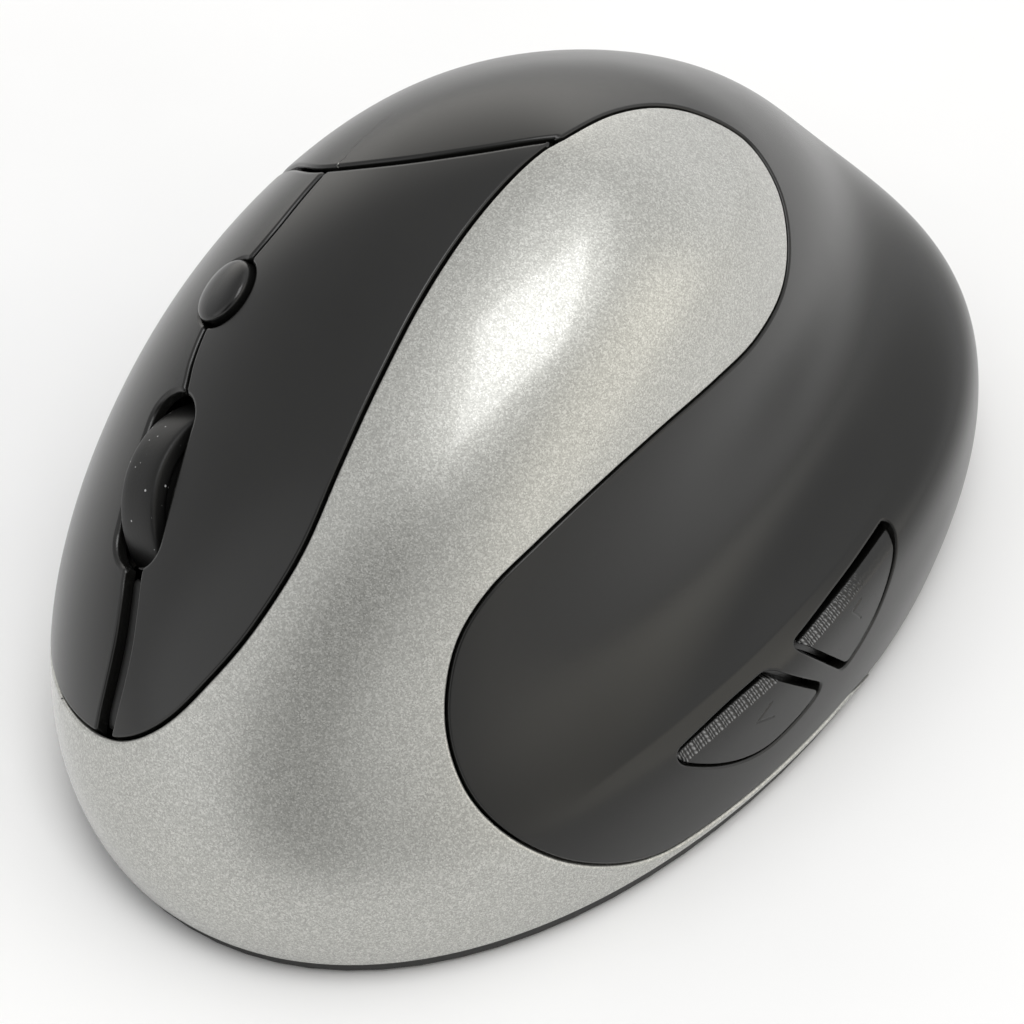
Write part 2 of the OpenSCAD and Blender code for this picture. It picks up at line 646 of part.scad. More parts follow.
module capsule(a, b, d) hull() {
    translate(a) circle(d = d, $fn = 32);
    translate(b) circle(d = d, $fn = 32);
}
module bottom_case() color([.07, .07, .07]) difference() {
    union() {
        translate([0, 0, foot_h]) linear_extrude(base_t) polygon(rim_outline(plate_inset));
        translate([0, 0, plate_top - 0.3]) linear_extrude(lip_top - plate_top + 0.3) difference() {
            polygon(rim_outline(lip_inset));
            polygon(rim_outline(lip_inset + lip_t));
        }
        for (p = all_posts) translate([p[0], p[1], foot_h])
            cylinder(d = 6.4, h = post_top - foot_h, $fn = 36);
        intersection() {
            translate([door[0] - 1.4, cells_y[0] - 3.4, foot_h])
                cube([door_w + 2.8, cell_l + 6.8, tray_top + 1.2 - foot_h]);
            linear_extrude(30) polygon(rim_outline(lip_inset));
        }
        translate([side_board_x - 1.3, -16, foot_h]) cube([3.8, 4, rim_z + 4 - foot_h]);
        translate([side_board_x - 1.3, 9, foot_h]) cube([3.8, 4, rim_z + 4 - foot_h]);
        for (p = board_posts) translate([p[0], p[1], foot_h])
            cylinder(d = 4.4, h = board_z - foot_h, $fn = 30);
    }
    translate([side_board_x - 0.1, -20, rim_z + 0.5]) cube([1.4, 40, 10]);
    for (p = board_posts) translate([p[0], p[1], board_z - 4]) cylinder(d = 1.7, h = 6, $fn = 24);
    translate([door[0] + 1, cells_y[0] - 2, foot_h - 1])
        cube([door_w - 2, cell_l + 4, tray_top + 1 - foot_h]);
    translate([door[0] + 1, door[2] + 1, foot_h - 1]) cube([door_w - 2, 70, 1.5]);
    translate([door[0], door[2], foot_h + 0.45])
        cube([door_w, 70, plate_top - foot_h - 0.45 + EPS]);
    for (p = all_posts) translate([p[0], p[1], 0]) {
        cylinder(d = screw_head_d + 0.4, h = foot_h + 1.8, $fn = 36);
        cylinder(d = screw_d + 0.4, h = 20, $fn = 32);
    }
    translate([lens_at[0] - 5, lens_at[1] - 4, 0]) cube([10, 8, 5]);
    translate([slider_at[0] - 2.4, slider_at[1] - 4, 0]) cube([4.8, 8 + 0.6, 5]);
    for (f = feet) translate([0, 0, -1])
        linear_extrude(foot_h + 1.2) capsule(f[0], f[1], f[2] + 0.4);
}
// Flush panel with a tongue on each side that slides in the base plate's grooves
module battery_door() color([.07, .07, .07]) {
    intersection() {
        translate([0, 0, foot_h]) linear_extrude(base_t - 0.2) polygon(rim_outline(plate_inset + 0.2));
        translate([door[0] + 1.2, door[2] + 1.2, 0]) cube([door_w - 2.4, 70, 5]);
    }
    intersection() {
        translate([0, 0, foot_h + 0.55])
            linear_extrude(base_t - 0.75) polygon(rim_outline(plate_inset + 0.2));
        translate([door[0] + 0.2, door[2] + 0.2, 0]) cube([door_w - 0.4, 70, 5]);
    }
}
module cell(flip) {
    translate([0, flip ? cell_l : 0, 0]) rotate([flip ? 90 : -90, 0, 0]) {
        cylinder(d = cell_d, h = cell_l - 1.2, $fn = 48);
        cylinder(d = 3.8, h = cell_l, $fn = 32);
    }
}
module battery_cells() color([.2, .35, .6]) for (i = [0, 1])
    translate([cells_x[i], cells_y[0], cell_z]) cell(i == 1);

// Conical coil of round wire along +Z
module coil(r_low, r_high, h, turns, wire) {
    steps = 12 * turns;
    sides = 6;
    rings = [for (i = [0:steps])
        let (u = i / steps, a = 360 * turns * u, r = r_low + (r_high - r_low) * u)
        [for (k = [0:sides - 1]) let (b = 360 * k / sides, q = r + wire / 2 * cos(b))
            [q * cos(a), q * sin(a), h * u + wire / 2 * sin(b)]]];
    points = [for (r = rings) for (p = r) p];
    faces = concat(
        [[for (k = [sides - 1:-1:0]) k]],
        [for (i = [0:steps - 1]) for (k = [0:sides - 1])
            let (a = i * sides + k, b = i * sides + (k + 1) % sides)
            [a, b, b + sides, a + sides]],
        [[for (k = [0:sides - 1]) steps * sides + k]]
    );
    polyhedron(points, faces, convexity = 6);
}
contact_t = 0.3;
module battery_contacts() color([.8, .78, .7]) for (i = [0, 1]) for (end = [0, 1]) {
    back = i == 1;
    plus = (end == 1) != back;
    y = end == 1 ? cells_y[1] + 1.6 : cells_y[0] - 1.6 - contact_t;
    translate([cells_x[i] - 4, y, cell_z - 4]) cube([8, contact_t, 8]);
    if (plus) translate([cells_x[i], end == 1 ? cells_y[1] + 0.05 : cells_y[0] - 1.7, cell_z])
        rotate([-90, 0, 0]) cylinder(d = 3, h = 1.65, $fn = 32);
}
module battery_springs() color([.8, .78, .7]) {
    translate([cells_x[0], cells_y[0] - 1.35, cell_z])
        rotate([-90, 0, 0]) coil(3.4, 2.2, 1.1, 2, 0.45);
    translate([cells_x[1], cells_y[1] + 1.35, cell_z])
        rotate([90, 0, 0]) coil(3.4, 2.2, 1.1, 2, 0.45);
}

board_z = 8;
board_posts = [[19, -30], [-22, -8], [17, -2]];
main_board_outline = [
    [-22, -32], [-6, -36], [14, -36], [22, -30], [23, 0], [-24, 0], [-25, -16]
];
module main_board() color([.1, .35, .2]) difference() {
    translate([0, 0, board_z]) linear_extrude(board_t) polygon(main_board_outline);
    for (p = legs) translate([p[0], p[1], 0]) cylinder(d = 6.4, h = 20, $fn = 36);
    for (p = board_posts) translate([p[0], p[1], 0]) cylinder(d = 2.2, h = 20, $fn = 24);
    translate([lens_at[0] - 3, lens_at[1] - 3, 0]) cube([6, 6, 20]);
}
module board_screws() color([.6, .6, .62])
    for (p = board_posts) translate([p[0], p[1], board_z]) {
        translate([0, 0, board_t + 0.05]) cylinder(d = 3.2, h = 1.2, $fn = 30);
        translate([0, 0, -3.4]) cylinder(d = 1.6, h = board_t + 4, $fn = 24);
    }
module optical_sensor() color([.08, .08, .08])
    translate([lens_at[0] - 5, lens_at[1] - 6, board_z + board_t + 0.05]) cube([10, 12, 2.6]);
module sensor_lens() color([.85, .9, .95, .5]) translate([lens_at[0], lens_at[1], 0]) {
    translate([-4.6, -3.6, foot_h + 0.4]) cube([9.2, 7.2, board_z - foot_h - 0.5]);
    translate([-7, -6, plate_top + 0.05]) cube([14, 12, 2.2]);
}
module controller_chip() color([.08, .08, .08])
    translate([9, -26, board_z + board_t + 0.05]) cube([7, 7, 1]);
module power_switch() color([.5, .5, .5])
    translate([slider_at[0] - 3.2, slider_at[1] - 4.6, 5.2]) cube([6.4, 9.8, board_z - 5.3]);
module power_slider() color([.3, .3, .3]) translate([slider_at[0], slider_at[1], 0]) {
    translate([-2.1, -3.8, foot_h + 0.2]) cube([4.2, 4.8, 2.4]);
    translate([-0.9, -2.4, foot_h + 0.2]) cube([1.8, 1.8, 4.2]);
}
module case_screw() difference() {
    union() {
        cylinder(d = screw_head_d, h = 1.5, $fn = 36);
        cylinder(d = screw_d, h = 9, $fn = 32);
    }
    for (a = [0, 90]) rotate(a) translate([-1.2, -0.3, -0.1]) cube([2.4, 0.6, 0.9]);
}
module case_screws() color([.3, .3, .32])
    for (p = all_posts) translate([p[0], p[1], foot_h + 0.2]) case_screw();
module glide_feet() color([.15, .15, .15]) for (f = feet)
    linear_extrude(foot_h + 0.15) capsule(f[0], f[1], f[2]);

main_shell();
silver_panel();
left_key();
right_key();
centre_rib();
left_key_arm();
right_key_arm();
key_hinge_pin();
key_frame();
key_board();
left_switch();
right_switch();
middle_switch();
oval_switch();
left_plunger();
right_plunger();
middle_plunger();
oval_plunger();
oval_button();
wheel_tyre();
wheel_hub();
wheel_axle();
wheel_carrier();
wheel_encoder();
forward_button();
back_button();
side_board();
forward_switch();
back_switch();
forward_plunger();
back_plunger();
bottom_case();
battery_door();
battery_cells();
battery_springs();
battery_contacts();
main_board();
optical_sensor();
sensor_lens();
controller_chip();
board_screws();
power_switch();
power_slider();
case_screws();
glide_feet();
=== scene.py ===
"""Looks of a right-handed sculpted mouse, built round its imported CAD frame."""
import math

import bpy
import numpy as np
from mathutils import Matrix, Vector


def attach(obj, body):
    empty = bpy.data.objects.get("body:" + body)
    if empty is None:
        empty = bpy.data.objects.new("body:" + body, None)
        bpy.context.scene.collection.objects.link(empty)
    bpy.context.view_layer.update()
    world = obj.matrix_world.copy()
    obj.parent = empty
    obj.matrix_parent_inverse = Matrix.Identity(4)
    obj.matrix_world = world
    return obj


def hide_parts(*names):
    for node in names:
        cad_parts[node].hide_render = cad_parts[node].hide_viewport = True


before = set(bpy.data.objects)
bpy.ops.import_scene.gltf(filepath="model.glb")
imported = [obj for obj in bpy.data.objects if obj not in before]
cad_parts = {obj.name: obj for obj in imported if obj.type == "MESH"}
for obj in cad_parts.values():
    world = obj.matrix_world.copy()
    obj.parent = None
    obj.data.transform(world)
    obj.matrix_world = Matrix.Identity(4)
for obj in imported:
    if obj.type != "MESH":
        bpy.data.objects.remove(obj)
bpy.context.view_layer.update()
MM = 0.001

# ------------------------------------------------------------------ skin ----
# The housing's skin in millimetres: the same eight profiles as the CAD, each a
# row of (share of the footprint, height), blended round a squared ellipse.
BODY_L, BODY_W, BODY_H = 116.0, 75.6, 59.2
POLE = np.array([3.0, 6.0])
PLAN_POWER = 2 / 2.05
CROWN_SLOPE, CROWN_R, CROWN_DIP, CROWN_REACH = 0.196, 4.0, 0.334, 18.0
CROWN_LIFT = CROWN_SLOPE * CROWN_R - CROWN_DIP
RIM_Z = 2.0
PROFILES = np.array([
    [[.975, 2], [.99, 6], [.985, 12.5], [.965, 17.5], [.86, 19.5],
     [.63, 23], [.56, 35], [.51, 47], [.33, 57]],
    [[1, 2], [1.045, 6], [1.05, 12], [1.02, 17.5], [.92, 20],
     [.7, 24], [.62, 34], [.54, 44], [.33, 55]],
    [[.985, 2], [1.01, 6], [1.01, 12], [.97, 18], [.9, 24],
     [.8, 31], [.68, 39], [.52, 47], [.3, 55]],
    [[.985, 2], [1.01, 7], [1.01, 14], [.975, 20.5], [.92, 27.5],
     [.83, 35.5], [.7, 43.5], [.53, 50.5], [.3, 57]],
    [[.985, 2], [1.02, 7], [1.03, 14], [1.015, 21], [.97, 29],
     [.885, 37.8], [.75, 46.5], [.56, 53.5], [.3, 58]],
    [[.975, 2], [1.01, 6], [1.02, 12], [1, 18], [.955, 25],
     [.855, 34], [.69, 43.8], [.485, 51.8], [.26, 57.4]],
    [[.97, 2], [.99, 5], [.985, 10.5], [.945, 17], [.875, 24],
     [.76, 33.5], [.61, 43], [.43, 51], [.22, 57.3]],
    [[.975, 2], [.99, 5], [.98, 11], [.935, 16], [.84, 20.5],
     [.72, 29], [.61, 40], [.47, 49.5], [.26, 57]],
], float)
LEVELS = PROFILES.shape[1]
CONTROLS = LEVELS + 1


def bspline_weights(t):
    """Clamped uniform cubic B-spline weights of the control values at each t."""
    knots = np.clip((np.arange(CONTROLS + 4) - 3) / (CONTROLS - 3), 0, 1)
    t = np.minimum(t, 1 - 1e-9)[:, None]
    w = ((t >= knots[None, :-1]) & (t < knots[None, 1:])).astype(float)
    for d in (1, 2, 3):
        n = w.shape[1] - 1
        left = knots[d:d + n] - knots[:n]
        right = knots[d + 1:d + 1 + n] - knots[1:1 + n]
        a = np.where(left > 0, (t - knots[:n]) / np.where(left > 0, left, 1), 0)
        b = np.where(right > 0, (knots[d + 1:d + 1 + n] - t) / np.where(right > 0, right, 1), 0)
        w = a * w[:, :n] + b * w[:, 1:n + 1]
    return w


def skin_point(a, t):
    """Points of the skin at angle a, in degrees, and rise t, from rim 0 to crown 1."""
    d = np.radians(a[:, None] - 45 * np.arange(8)[None])
    mix = (1 + 2 * (np.cos(d) + np.cos(2 * d) + np.cos(3 * d)) + np.cos(4 * d)) / 8
    ctrl = (mix @ PROFILES.reshape(8, -1)).reshape(-1, LEVELS, 2)
    w = bspline_weights(t)
    rho = np.einsum("vk,vk->v", w[:, :LEVELS], ctrl[..., 0])
    z = np.einsum("vk,vk->v", w[:, :LEVELS], ctrl[..., 1])
    z = z + w[:, LEVELS] * (BODY_H + CROWN_DIP)
    c, s = np.cos(np.radians(a)), np.sin(np.radians(a))
    foot = np.stack([BODY_W / 2 * np.sign(c) * np.abs(c) ** PLAN_POWER,
                     BODY_L / 2 * np.sign(s) * np.abs(s) ** PLAN_POWER], 1)
    out = rho[:, None] * (foot - POLE)
    r = np.linalg.norm(out, axis=1)
    z = z + CROWN_SLOPE * (r - np.sqrt(r * r + CROWN_R ** 2))
    z = z + CROWN_LIFT * np.maximum(0, 1 - r * r / CROWN_REACH ** 2) ** 2
    return np.concatenate([POLE + out, z[:, None]], 1)


def unit(v):
    """Rows scaled to length one."""
    return v / np.maximum(np.linalg.norm(v, axis=-1, keepdims=True), 1e-12)


def skin_normal(a, t):
    """Outward normals of the skin, from small steps along it and up it."""
    da, dt, near_pole = 0.05, 2e-4, 0.9985
    t = np.clip(t, 0, near_pole)
    lo, hi = np.maximum(t - dt, 0), t + dt
    along = skin_point(a + da, t) - skin_point(a - da, t)
    up = skin_point(a, hi) - skin_point(a, lo)
    return unit(np.cross(along, up))


# --------------------------------------------------------- sketch planes ----
def rotation(x, y, z):
    """Matrix of a turn in degrees about X, then Y, then Z, as OpenSCAD's rotate()."""
    x, y, z = (math.radians(v) for v in (x, y, z))
    return np.array(Matrix.Rotation(z, 3, "Z") @ Matrix.Rotation(y, 3, "Y") @ Matrix.Rotation(x, 3, "X"))


CORNER = rotation(43, 0, 36)
KEYS = rotation(43, -22, -14)
SIDE = np.array([[0, 0, 1], [1, 0, 0], [0, 1, 0]], float)


def curve(points, steps=14):
    """Smooth curve through a list of points, the same rule as the CAD's."""
    p = np.array(points, float)
    q = np.concatenate([p[:1], p, p[-1:]])
    u = (np.arange(steps) / steps)[:, None]
    out = []
    for i in range(len(p) - 1):
        a, b, c, d = q[i], q[i + 1], q[i + 2], q[i + 3]
        bend = u * ((2 * a - 5 * b + 4 * c - d) + u * (3 * b - a - 3 * c + d))
        out.append(b + 0.5 * u * ((c - a) + bend))
    return np.concatenate(out + [p[-1:]])


# Borders of the panels, in millimetres in the plane that each is drawn in: the silver panel's
# tongue in CORNER, the keys in KEYS, the silver panel's skirt and the side buttons in SIDE
TONGUE_EDGE = curve([
    [4, 44.5], [8.7, 47.2], [13.4, 48.3], [18, 47.6], [22.6, 45.1], [25.6, 40.5], [26.6, 35.2],
    [25.9, 30], [23.2, 25.2], [19.2, 21.2], [13.3, 16.1], [7.6, 11], [1.7, 5.5], [-2.8, 1],
    [-5.7, -3.6], [-6.9, -8.8], [-6.6, -13.9], [-4.7, -18.7], [-1.2, -22.4], [3.6, -25.1],
    [8.4, -26.1], [12.8, -25.7], [17, -23.8], [24.2, -18.8], [31.4, -12.4], [38.5, -5], [42, 0]])
TONGUE = np.concatenate([TONGUE_EDGE, [[42, -80], [-90, -80], [-90, 38], [-28, 38], [-15, 40], [-6, 41.3],
                                       [0, 42.6]]])
KEY_FRONT = curve([
    [20.3, 43], [20.6, 38], [21.4, 30.5], [22.5, 22.5], [23.4, 14.5], [24, 5.5], [23.8, -3.5],
    [21.6, -12.3], [18.3, -19.4], [15.2, -24], [11.5, -26.9], [7.4, -28], [2, -27.5],
    [-4.2, -25.5], [-12, -21], [-18, -13], [-22.3, -4], [-25, 4], [-26.3, 11], [-25.9, 18]])
KEY_REAR = curve([[-25.9, 18], [-24, 23], [-19.6, 26.6], [-14, 29], [-7, 30.5], [0, 31.2], [8, 34.2],
                  [15, 38.5], [20.3, 43]])
KEY_LOOP = np.concatenate([KEY_FRONT, KEY_REAR[1:-1]])
SMOOTH_TURN = 0.87
CORNER_STEPS = 9


def soft_corners(runs, reach=1.3):
    """Closed loop from curves set end to end, with its corners rounded off.

    A corner is a point where the cosine of the turn is at most SMOOTH_TURN."""
    loop = np.concatenate([run[:-1] if np.allclose(run[-1], runs[(i + 1) % len(runs)][0]) else run
                           for i, run in enumerate(runs)])
    into, out = loop - np.roll(loop, 1, 0), np.roll(loop, -1, 0) - loop
    turn = (unit(into) * unit(out)).sum(1)
    sharp = turn <= SMOOTH_TURN
    b = np.linspace(0, 1, CORNER_STEPS)[:, None]
    done = []
    for i, p in enumerate(loop):
        if not sharp[i]:
            if min(np.linalg.norm(p - c) for c in loop[sharp]) > reach:
                done.append(p[None])
            continue
        ends = []
        for way in (-1, 1):
            q, left, k = p, reach, i
            while left > 0:
                k = (k + way) % len(loop)
                step = np.linalg.norm(loop[k] - q)
                if left <= step:
                    ends.append(q + (loop[k] - q) * (left / step))
                q, left = loop[k], left - step
        done.append((1 - b) ** 2 * ends[0] + 2 * b * (1 - b) * p + b ** 2 * ends[1])
    return np.concatenate(done)


SKIRT_EDGE = curve([[-45, 25], [-38.5, 16], [-34, 12], [-28, 8.6], [-22, 5.7], [-16, 3.7], [-10, 2.6],
                    [-4, 1.4]])
SKIRT = np.concatenate([SKIRT_EDGE, [[-4, -8], [-80, -8], [-80, 25]]])
SEAM = curve([[0.9, 34], [1.9, 25], [1.4, 19], [1.3, 13], [2.2, 9], [3.8, 5], [5.3, -3], [6.7, -11.5],
              [7.6, -15], [8.3, -19], [8.2, -23.5], [7.2, -30]])
SKIRT_X = -20.0
WHEEL_AT = np.array([4.6, -3.1])
WHEEL_TWIST = 11.0
SLOT = (6.6, 17.9)
SLOT_R = 3.2
OVAL_AT = np.array([1.2, 16.35])
OVAL = (6.3, 6.9)
SKIN_AT_WHEEL, WHEEL_PROUD, WHEEL_R = 53.2, 1.6, 10
WHEEL_Z = SKIN_AT_WHEEL + WHEEL_PROUD - WHEEL_R
FORWARD_TOP = curve([[-20.3, 15.4], [-19.4, 16.2], [-13, 17.2], [-6.6, 17.6]])
FORWARD_LOW = curve([[0.2, 10.4], [-1.6, 9.3], [-5, 8.6], [-8.6, 8.5], [-12, 9.5], [-15.5, 11.4], [-19, 14],
                     [-20.3, 15.4]])
FORWARD = soft_corners([FORWARD_TOP, FORWARD_LOW])
BACK_TOP = curve([[-3.2, 17.8], [4, 18.4], [11, 18.7], [16.2, 18.8]])
BACK_LOW = curve([[16.2, 18.8], [15.2, 17.3], [13.2, 15], [10.2, 12.2], [7, 10.4], [3.6, 9.2]])
BACK = soft_corners([BACK_TOP, BACK_LOW])


FIN_TOP_GAP, FIN_END_GAP, FIN_TIP, FIN_CORNER = 0.2, 0.6, 0.4, 0.9


def fin_loop(top, low, facing_end):
    """Outline of a side button: its top and its facing end stand back from the hole."""
    top = top - [0, FIN_TOP_GAP]
    low = low[low[:, 1] < np.interp(low[:, 0], top[:, 0], top[:, 1]) - FIN_TIP]
    loop = np.concatenate([top, low])
    p, q = facing_end
    d = (q - p) / np.linalg.norm(q - p)
    side = (loop - p) @ np.array([-d[1], d[0]]) - FIN_END_GAP
    done = []
    for i, here in enumerate(loop):
        k = (i + 1) % len(loop)
        if side[i] >= 0:
            done.append(here)
        if (side[i] >= 0) != (side[k] >= 0):
            done.append(here + (loop[k] - here) * side[i] / (side[i] - side[k]))
    return soft_corners([np.array(done)], FIN_CORNER)


def rounded_slot(steps=12):
    """Outline of the slot that the wheel stands in."""
    w, l = SLOT[0] / 2 - SLOT_R, SLOT[1] / 2 - SLOT_R
    out = []
    for cx, cy, start in ((w, l, 0), (-w, l, 90), (-w, -l, 180), (w, -l, 270)):
        for k in range(steps + 1):
            b = math.radians(start + k * 90 / steps)
            out.append([cx + SLOT_R * math.cos(b), cy + SLOT_R * math.sin(b)])
    b = math.radians(WHEEL_TWIST)
    turn = np.array([[math.cos(b), -math.sin(b)], [math.sin(b), math.cos(b)]])
    return np.array(out) @ turn.T + WHEEL_AT


def oval_loop(grow, n=96):
    """Outline of the oval button, moved outwards by grow."""
    b = np.arange(n) * 2 * math.pi / n
    return OVAL_AT + np.stack([(OVAL[0] / 2 + grow) * np.cos(b), (OVAL[1] / 2 + grow) * np.sin(b)], 1)


CHUNK = 4000


def to_segments(q, start, end):
    """Distance of each point to a run of segments, and the nearest point on it."""
    best = np.full(len(q), 1e9)
    foot = np.zeros_like(q)
    ab = end - start
    len2 = np.maximum((ab ** 2).sum(1), 1e-12)
    for i in range(0, len(q), CHUNK):
        x, y = q[i:i + CHUNK, 0][:, None], q[i:i + CHUNK, 1][:, None]
        u = np.clip(((x - start[:, 0]) * ab[:, 0] + (y - start[:, 1]) * ab[:, 1]) / len2, 0, 1)
        nx, ny = start[:, 0] + u * ab[:, 0], start[:, 1] + u * ab[:, 1]
        d2 = (x - nx) ** 2 + (y - ny) ** 2
        k = d2.argmin(1)
        rows = np.arange(len(k))
        best[i:i + CHUNK] = np.sqrt(d2[rows, k])
        foot[i:i + CHUNK] = np.stack([nx[rows, k], ny[rows, k]], 1)
    return best, foot


def thinned(loop, closed, points=60, long=3):
    """A coarser copy of a curve, for points that are far from it; long sides stay whole."""
    step = max(1, len(loop) // points)
    long_side = np.linalg.norm(np.roll(loop, -1, 0) - loop, axis=1) > long
    keep = (np.arange(len(loop)) % step == 0) | long_side | np.roll(long_side, 1)
    keep[-1] |= not closed
    return loop[keep]


def inside_loop(q, loop):
    """True for each point that lies inside a closed loop."""
    hit = np.zeros(len(q), bool)
    x0, y0 = loop[:, 0], loop[:, 1]
    x1, y1 = np.roll(x0, -1), np.roll(y0, -1)
    slope = (x1 - x0) / np.where(y1 == y0, 1e-12, y1 - y0)
    for i in range(0, len(q), CHUNK):
        x, y = q[i:i + CHUNK, 0][:, None], q[i:i + CHUNK, 1][:, None]
        cross = (y0 > y) != (y1 > y)
        hit[i:i + CHUNK] = (cross & (x < x0 + (y - y0) * slope)).sum(1) % 2 == 1
    return hit


NEAR, FAR = 3.5, 50.0
LEAST_SLOPE = 0.25


class Edge:
    """Signed distance to one border of a panel, in a sketch plane: positive inside.

    The border stands back by gap from the drawn loop and is rounded with radius. It counts only
    where only(p) is true; without only, the body's far side is outside the loop. No point is
    inside where barred(p) is true."""

    def __init__(self, plane, loop, gap, radius, outside=False, only=None, closed=True, barred=None):
        self.axes, self.facing, self.barred = plane[:, :2], plane[:, 2], barred
        self.loop, self.gap, self.radius = np.array(loop, float), gap, radius
        self.sign = -1.0 if outside else 1.0
        self.only, self.closed = only, closed

    def flat(self, p):
        """Distance in the sketch plane, and the direction in which it grows."""
        q = p @ self.axes
        d, foot, side = self.nearest(q, thinned(self.loop, self.closed))
        near = d < NEAR
        if near.any():
            d[near], foot[near], side[near] = self.nearest(q[near], self.loop)
        m = unit(q - foot) * side[:, None]
        return d * side * self.sign, m @ self.axes.T * self.sign

    def nearest(self, q, loop):
        """Distance to a loop, its nearest point, and the side that each point is on."""
        if self.closed:
            d, foot = to_segments(q, loop, np.roll(loop, -1, 0))
            return d, foot, np.where(inside_loop(q, loop), 1.0, -1.0)
        d, foot = to_segments(q, loop[:-1], loop[1:])
        at = np.interp(q[:, 1], loop[::-1, 1], loop[::-1, 0])
        return d, foot, np.where(q[:, 0] > at, 1.0, -1.0)

    def measure(self, p, n):
        """Distance on the skin, and the direction on the skin in which it grows."""
        d, m = self.flat(p)
        along = m - (m * n).sum(1, keepdims=True) * n
        slope = np.maximum(np.linalg.norm(along, axis=1), LEAST_SLOPE)
        dist = (d - self.gap) / slope
        if self.only is not None:
            dist = np.where(self.only(p), dist, FAR)
        elif self.facing is not None:
            dist = np.where(p @ self.facing > 0, dist, FAR * -self.sign)
        if self.barred is not None:
            dist = np.where(self.barred(p), -FAR, dist)
        return dist, along / slope[:, None]


class Height(Edge):
    """A panel's lower border, at a fixed height."""

    def __init__(self, z, radius):
        self.z, self.gap, self.radius = z, 0.0, radius
        self.only = self.facing = self.barred = None

    def flat(self, p):
        m = np.zeros_like(p)
        m[:, 2] = 1
        return p[:, 2] - self.z, m


# ---------------------------------------------------------------- panels ----
def grid(a0, a1, na, t0, t1, nt):
    """Triangles on the skin over a window of angle and rise."""
    wrap = abs(a1 - a0 - 360) < 1e-6
    a = np.linspace(a0, a1, na + 1)[:na if wrap else na + 1]
    t = np.linspace(t0, t1, nt + 1)
    pole = t1 >= 1
    if pole:
        t = t[:-1]
    aa, tt = np.meshgrid(a, t, indexing="ij")
    aa, tt = aa.ravel(), tt.ravel()
    rows, cols = len(a), len(t)
    i, j = np.meshgrid(np.arange(rows if wrap else rows - 1), np.arange(cols - 1), indexing="ij")
    v00 = (i * cols + j).ravel()
    v10 = (((i + 1) % rows) * cols + j).ravel()
    flip = ((i + j) % 2 == 0).ravel()
    v01, v11 = v00 + 1, v10 + 1
    one = np.where(flip[:, None], np.stack([v00, v10, v11], 1), np.stack([v00, v10, v01], 1))
    two = np.where(flip[:, None], np.stack([v00, v11, v01], 1), np.stack([v10, v11, v01], 1))
    tri = np.concatenate([one, two])
    if pole:
        top = len(aa)
        aa, tt = np.append(aa, 0.0), np.append(tt, 1.0)
        last = np.arange(rows) * cols + cols - 1
        tri = np.concatenate([tri, np.stack([last, np.roll(last, -1), np.full(rows, top)], 1)])
    return aa, tt, tri


def split(values, tri, column, level, keep_only):
    """Cuts triangles along the line where one column of values equals level."""
    d = values[:, column] - level
    d[np.abs(d) < 1e-7] = 0
    inside = d >= 0
    count = inside[tri].sum(1)
    whole_in, whole_out = tri[count == 3], tri[count == 0]
    mixed = tri[(count == 1) | (count == 2)]
    if not len(mixed):
        return values, whole_in if keep_only else tri
    lone_in = inside[mixed].sum(1) == 1
    lone = np.where(lone_in, inside[mixed].argmax(1), (~inside[mixed]).argmax(1))
    r = np.arange(len(mixed))
    a, b, c = (mixed[r, (lone + k) % 3] for k in range(3))
    total = len(values)
    keys = np.concatenate([np.minimum(a, b) * total + np.maximum(a, b),
                           np.minimum(a, c) * total + np.maximum(a, c)])
    uniq, back = np.unique(keys, return_inverse=True)
    lo, hi = uniq // total, uniq % total
    w = (d[lo] / (d[lo] - d[hi]))[:, None]
    new = values[lo] * (1 - w) + values[hi] * w
    new[:, column] = level
    p, q = total + back[:len(r)], total + back[len(r):]
    small = np.stack([a, p, q], 1)
    big = np.concatenate([np.stack([p, b, c], 1), np.stack([p, c, q], 1)])
    lone2 = np.concatenate([lone_in, lone_in])
    kept = [whole_in, small[lone_in], big[~lone2]]
    if not keep_only:
        kept += [whole_out, small[~lone_in], big[lone2]]
    tri = np.concatenate(kept)
    values = np.concatenate([values, new])
    area = (tri[:, 0] != tri[:, 1]) & (tri[:, 1] != tri[:, 2]) & (tri[:, 0] != tri[:, 2])
    return values, tri[area]


def compact(values, tri):
    """Drops the rows of values that no triangle uses."""
    used = np.unique(tri)
    back = np.full(used.max() + 1, -1)
    back[used] = np.arange(len(used))
    return values[used], back[tri]


# A vertex's row of values holds its point, its normal, then its distance inside each edge
FIELD = 6
# Cuts across a rounded border, as shares of its radius, and across the crease, in mm
BENDS = (1.0, 0.617, 0.293, 0.076)
FOLD_CUTS = (-1.2, -0.5, -0.15, 0.0, 0.15, 0.5, 1.2)
# Border walls take their own direction within the first distance, and none past the second
WALL_NEAR, WALL_FAR = 2, 4


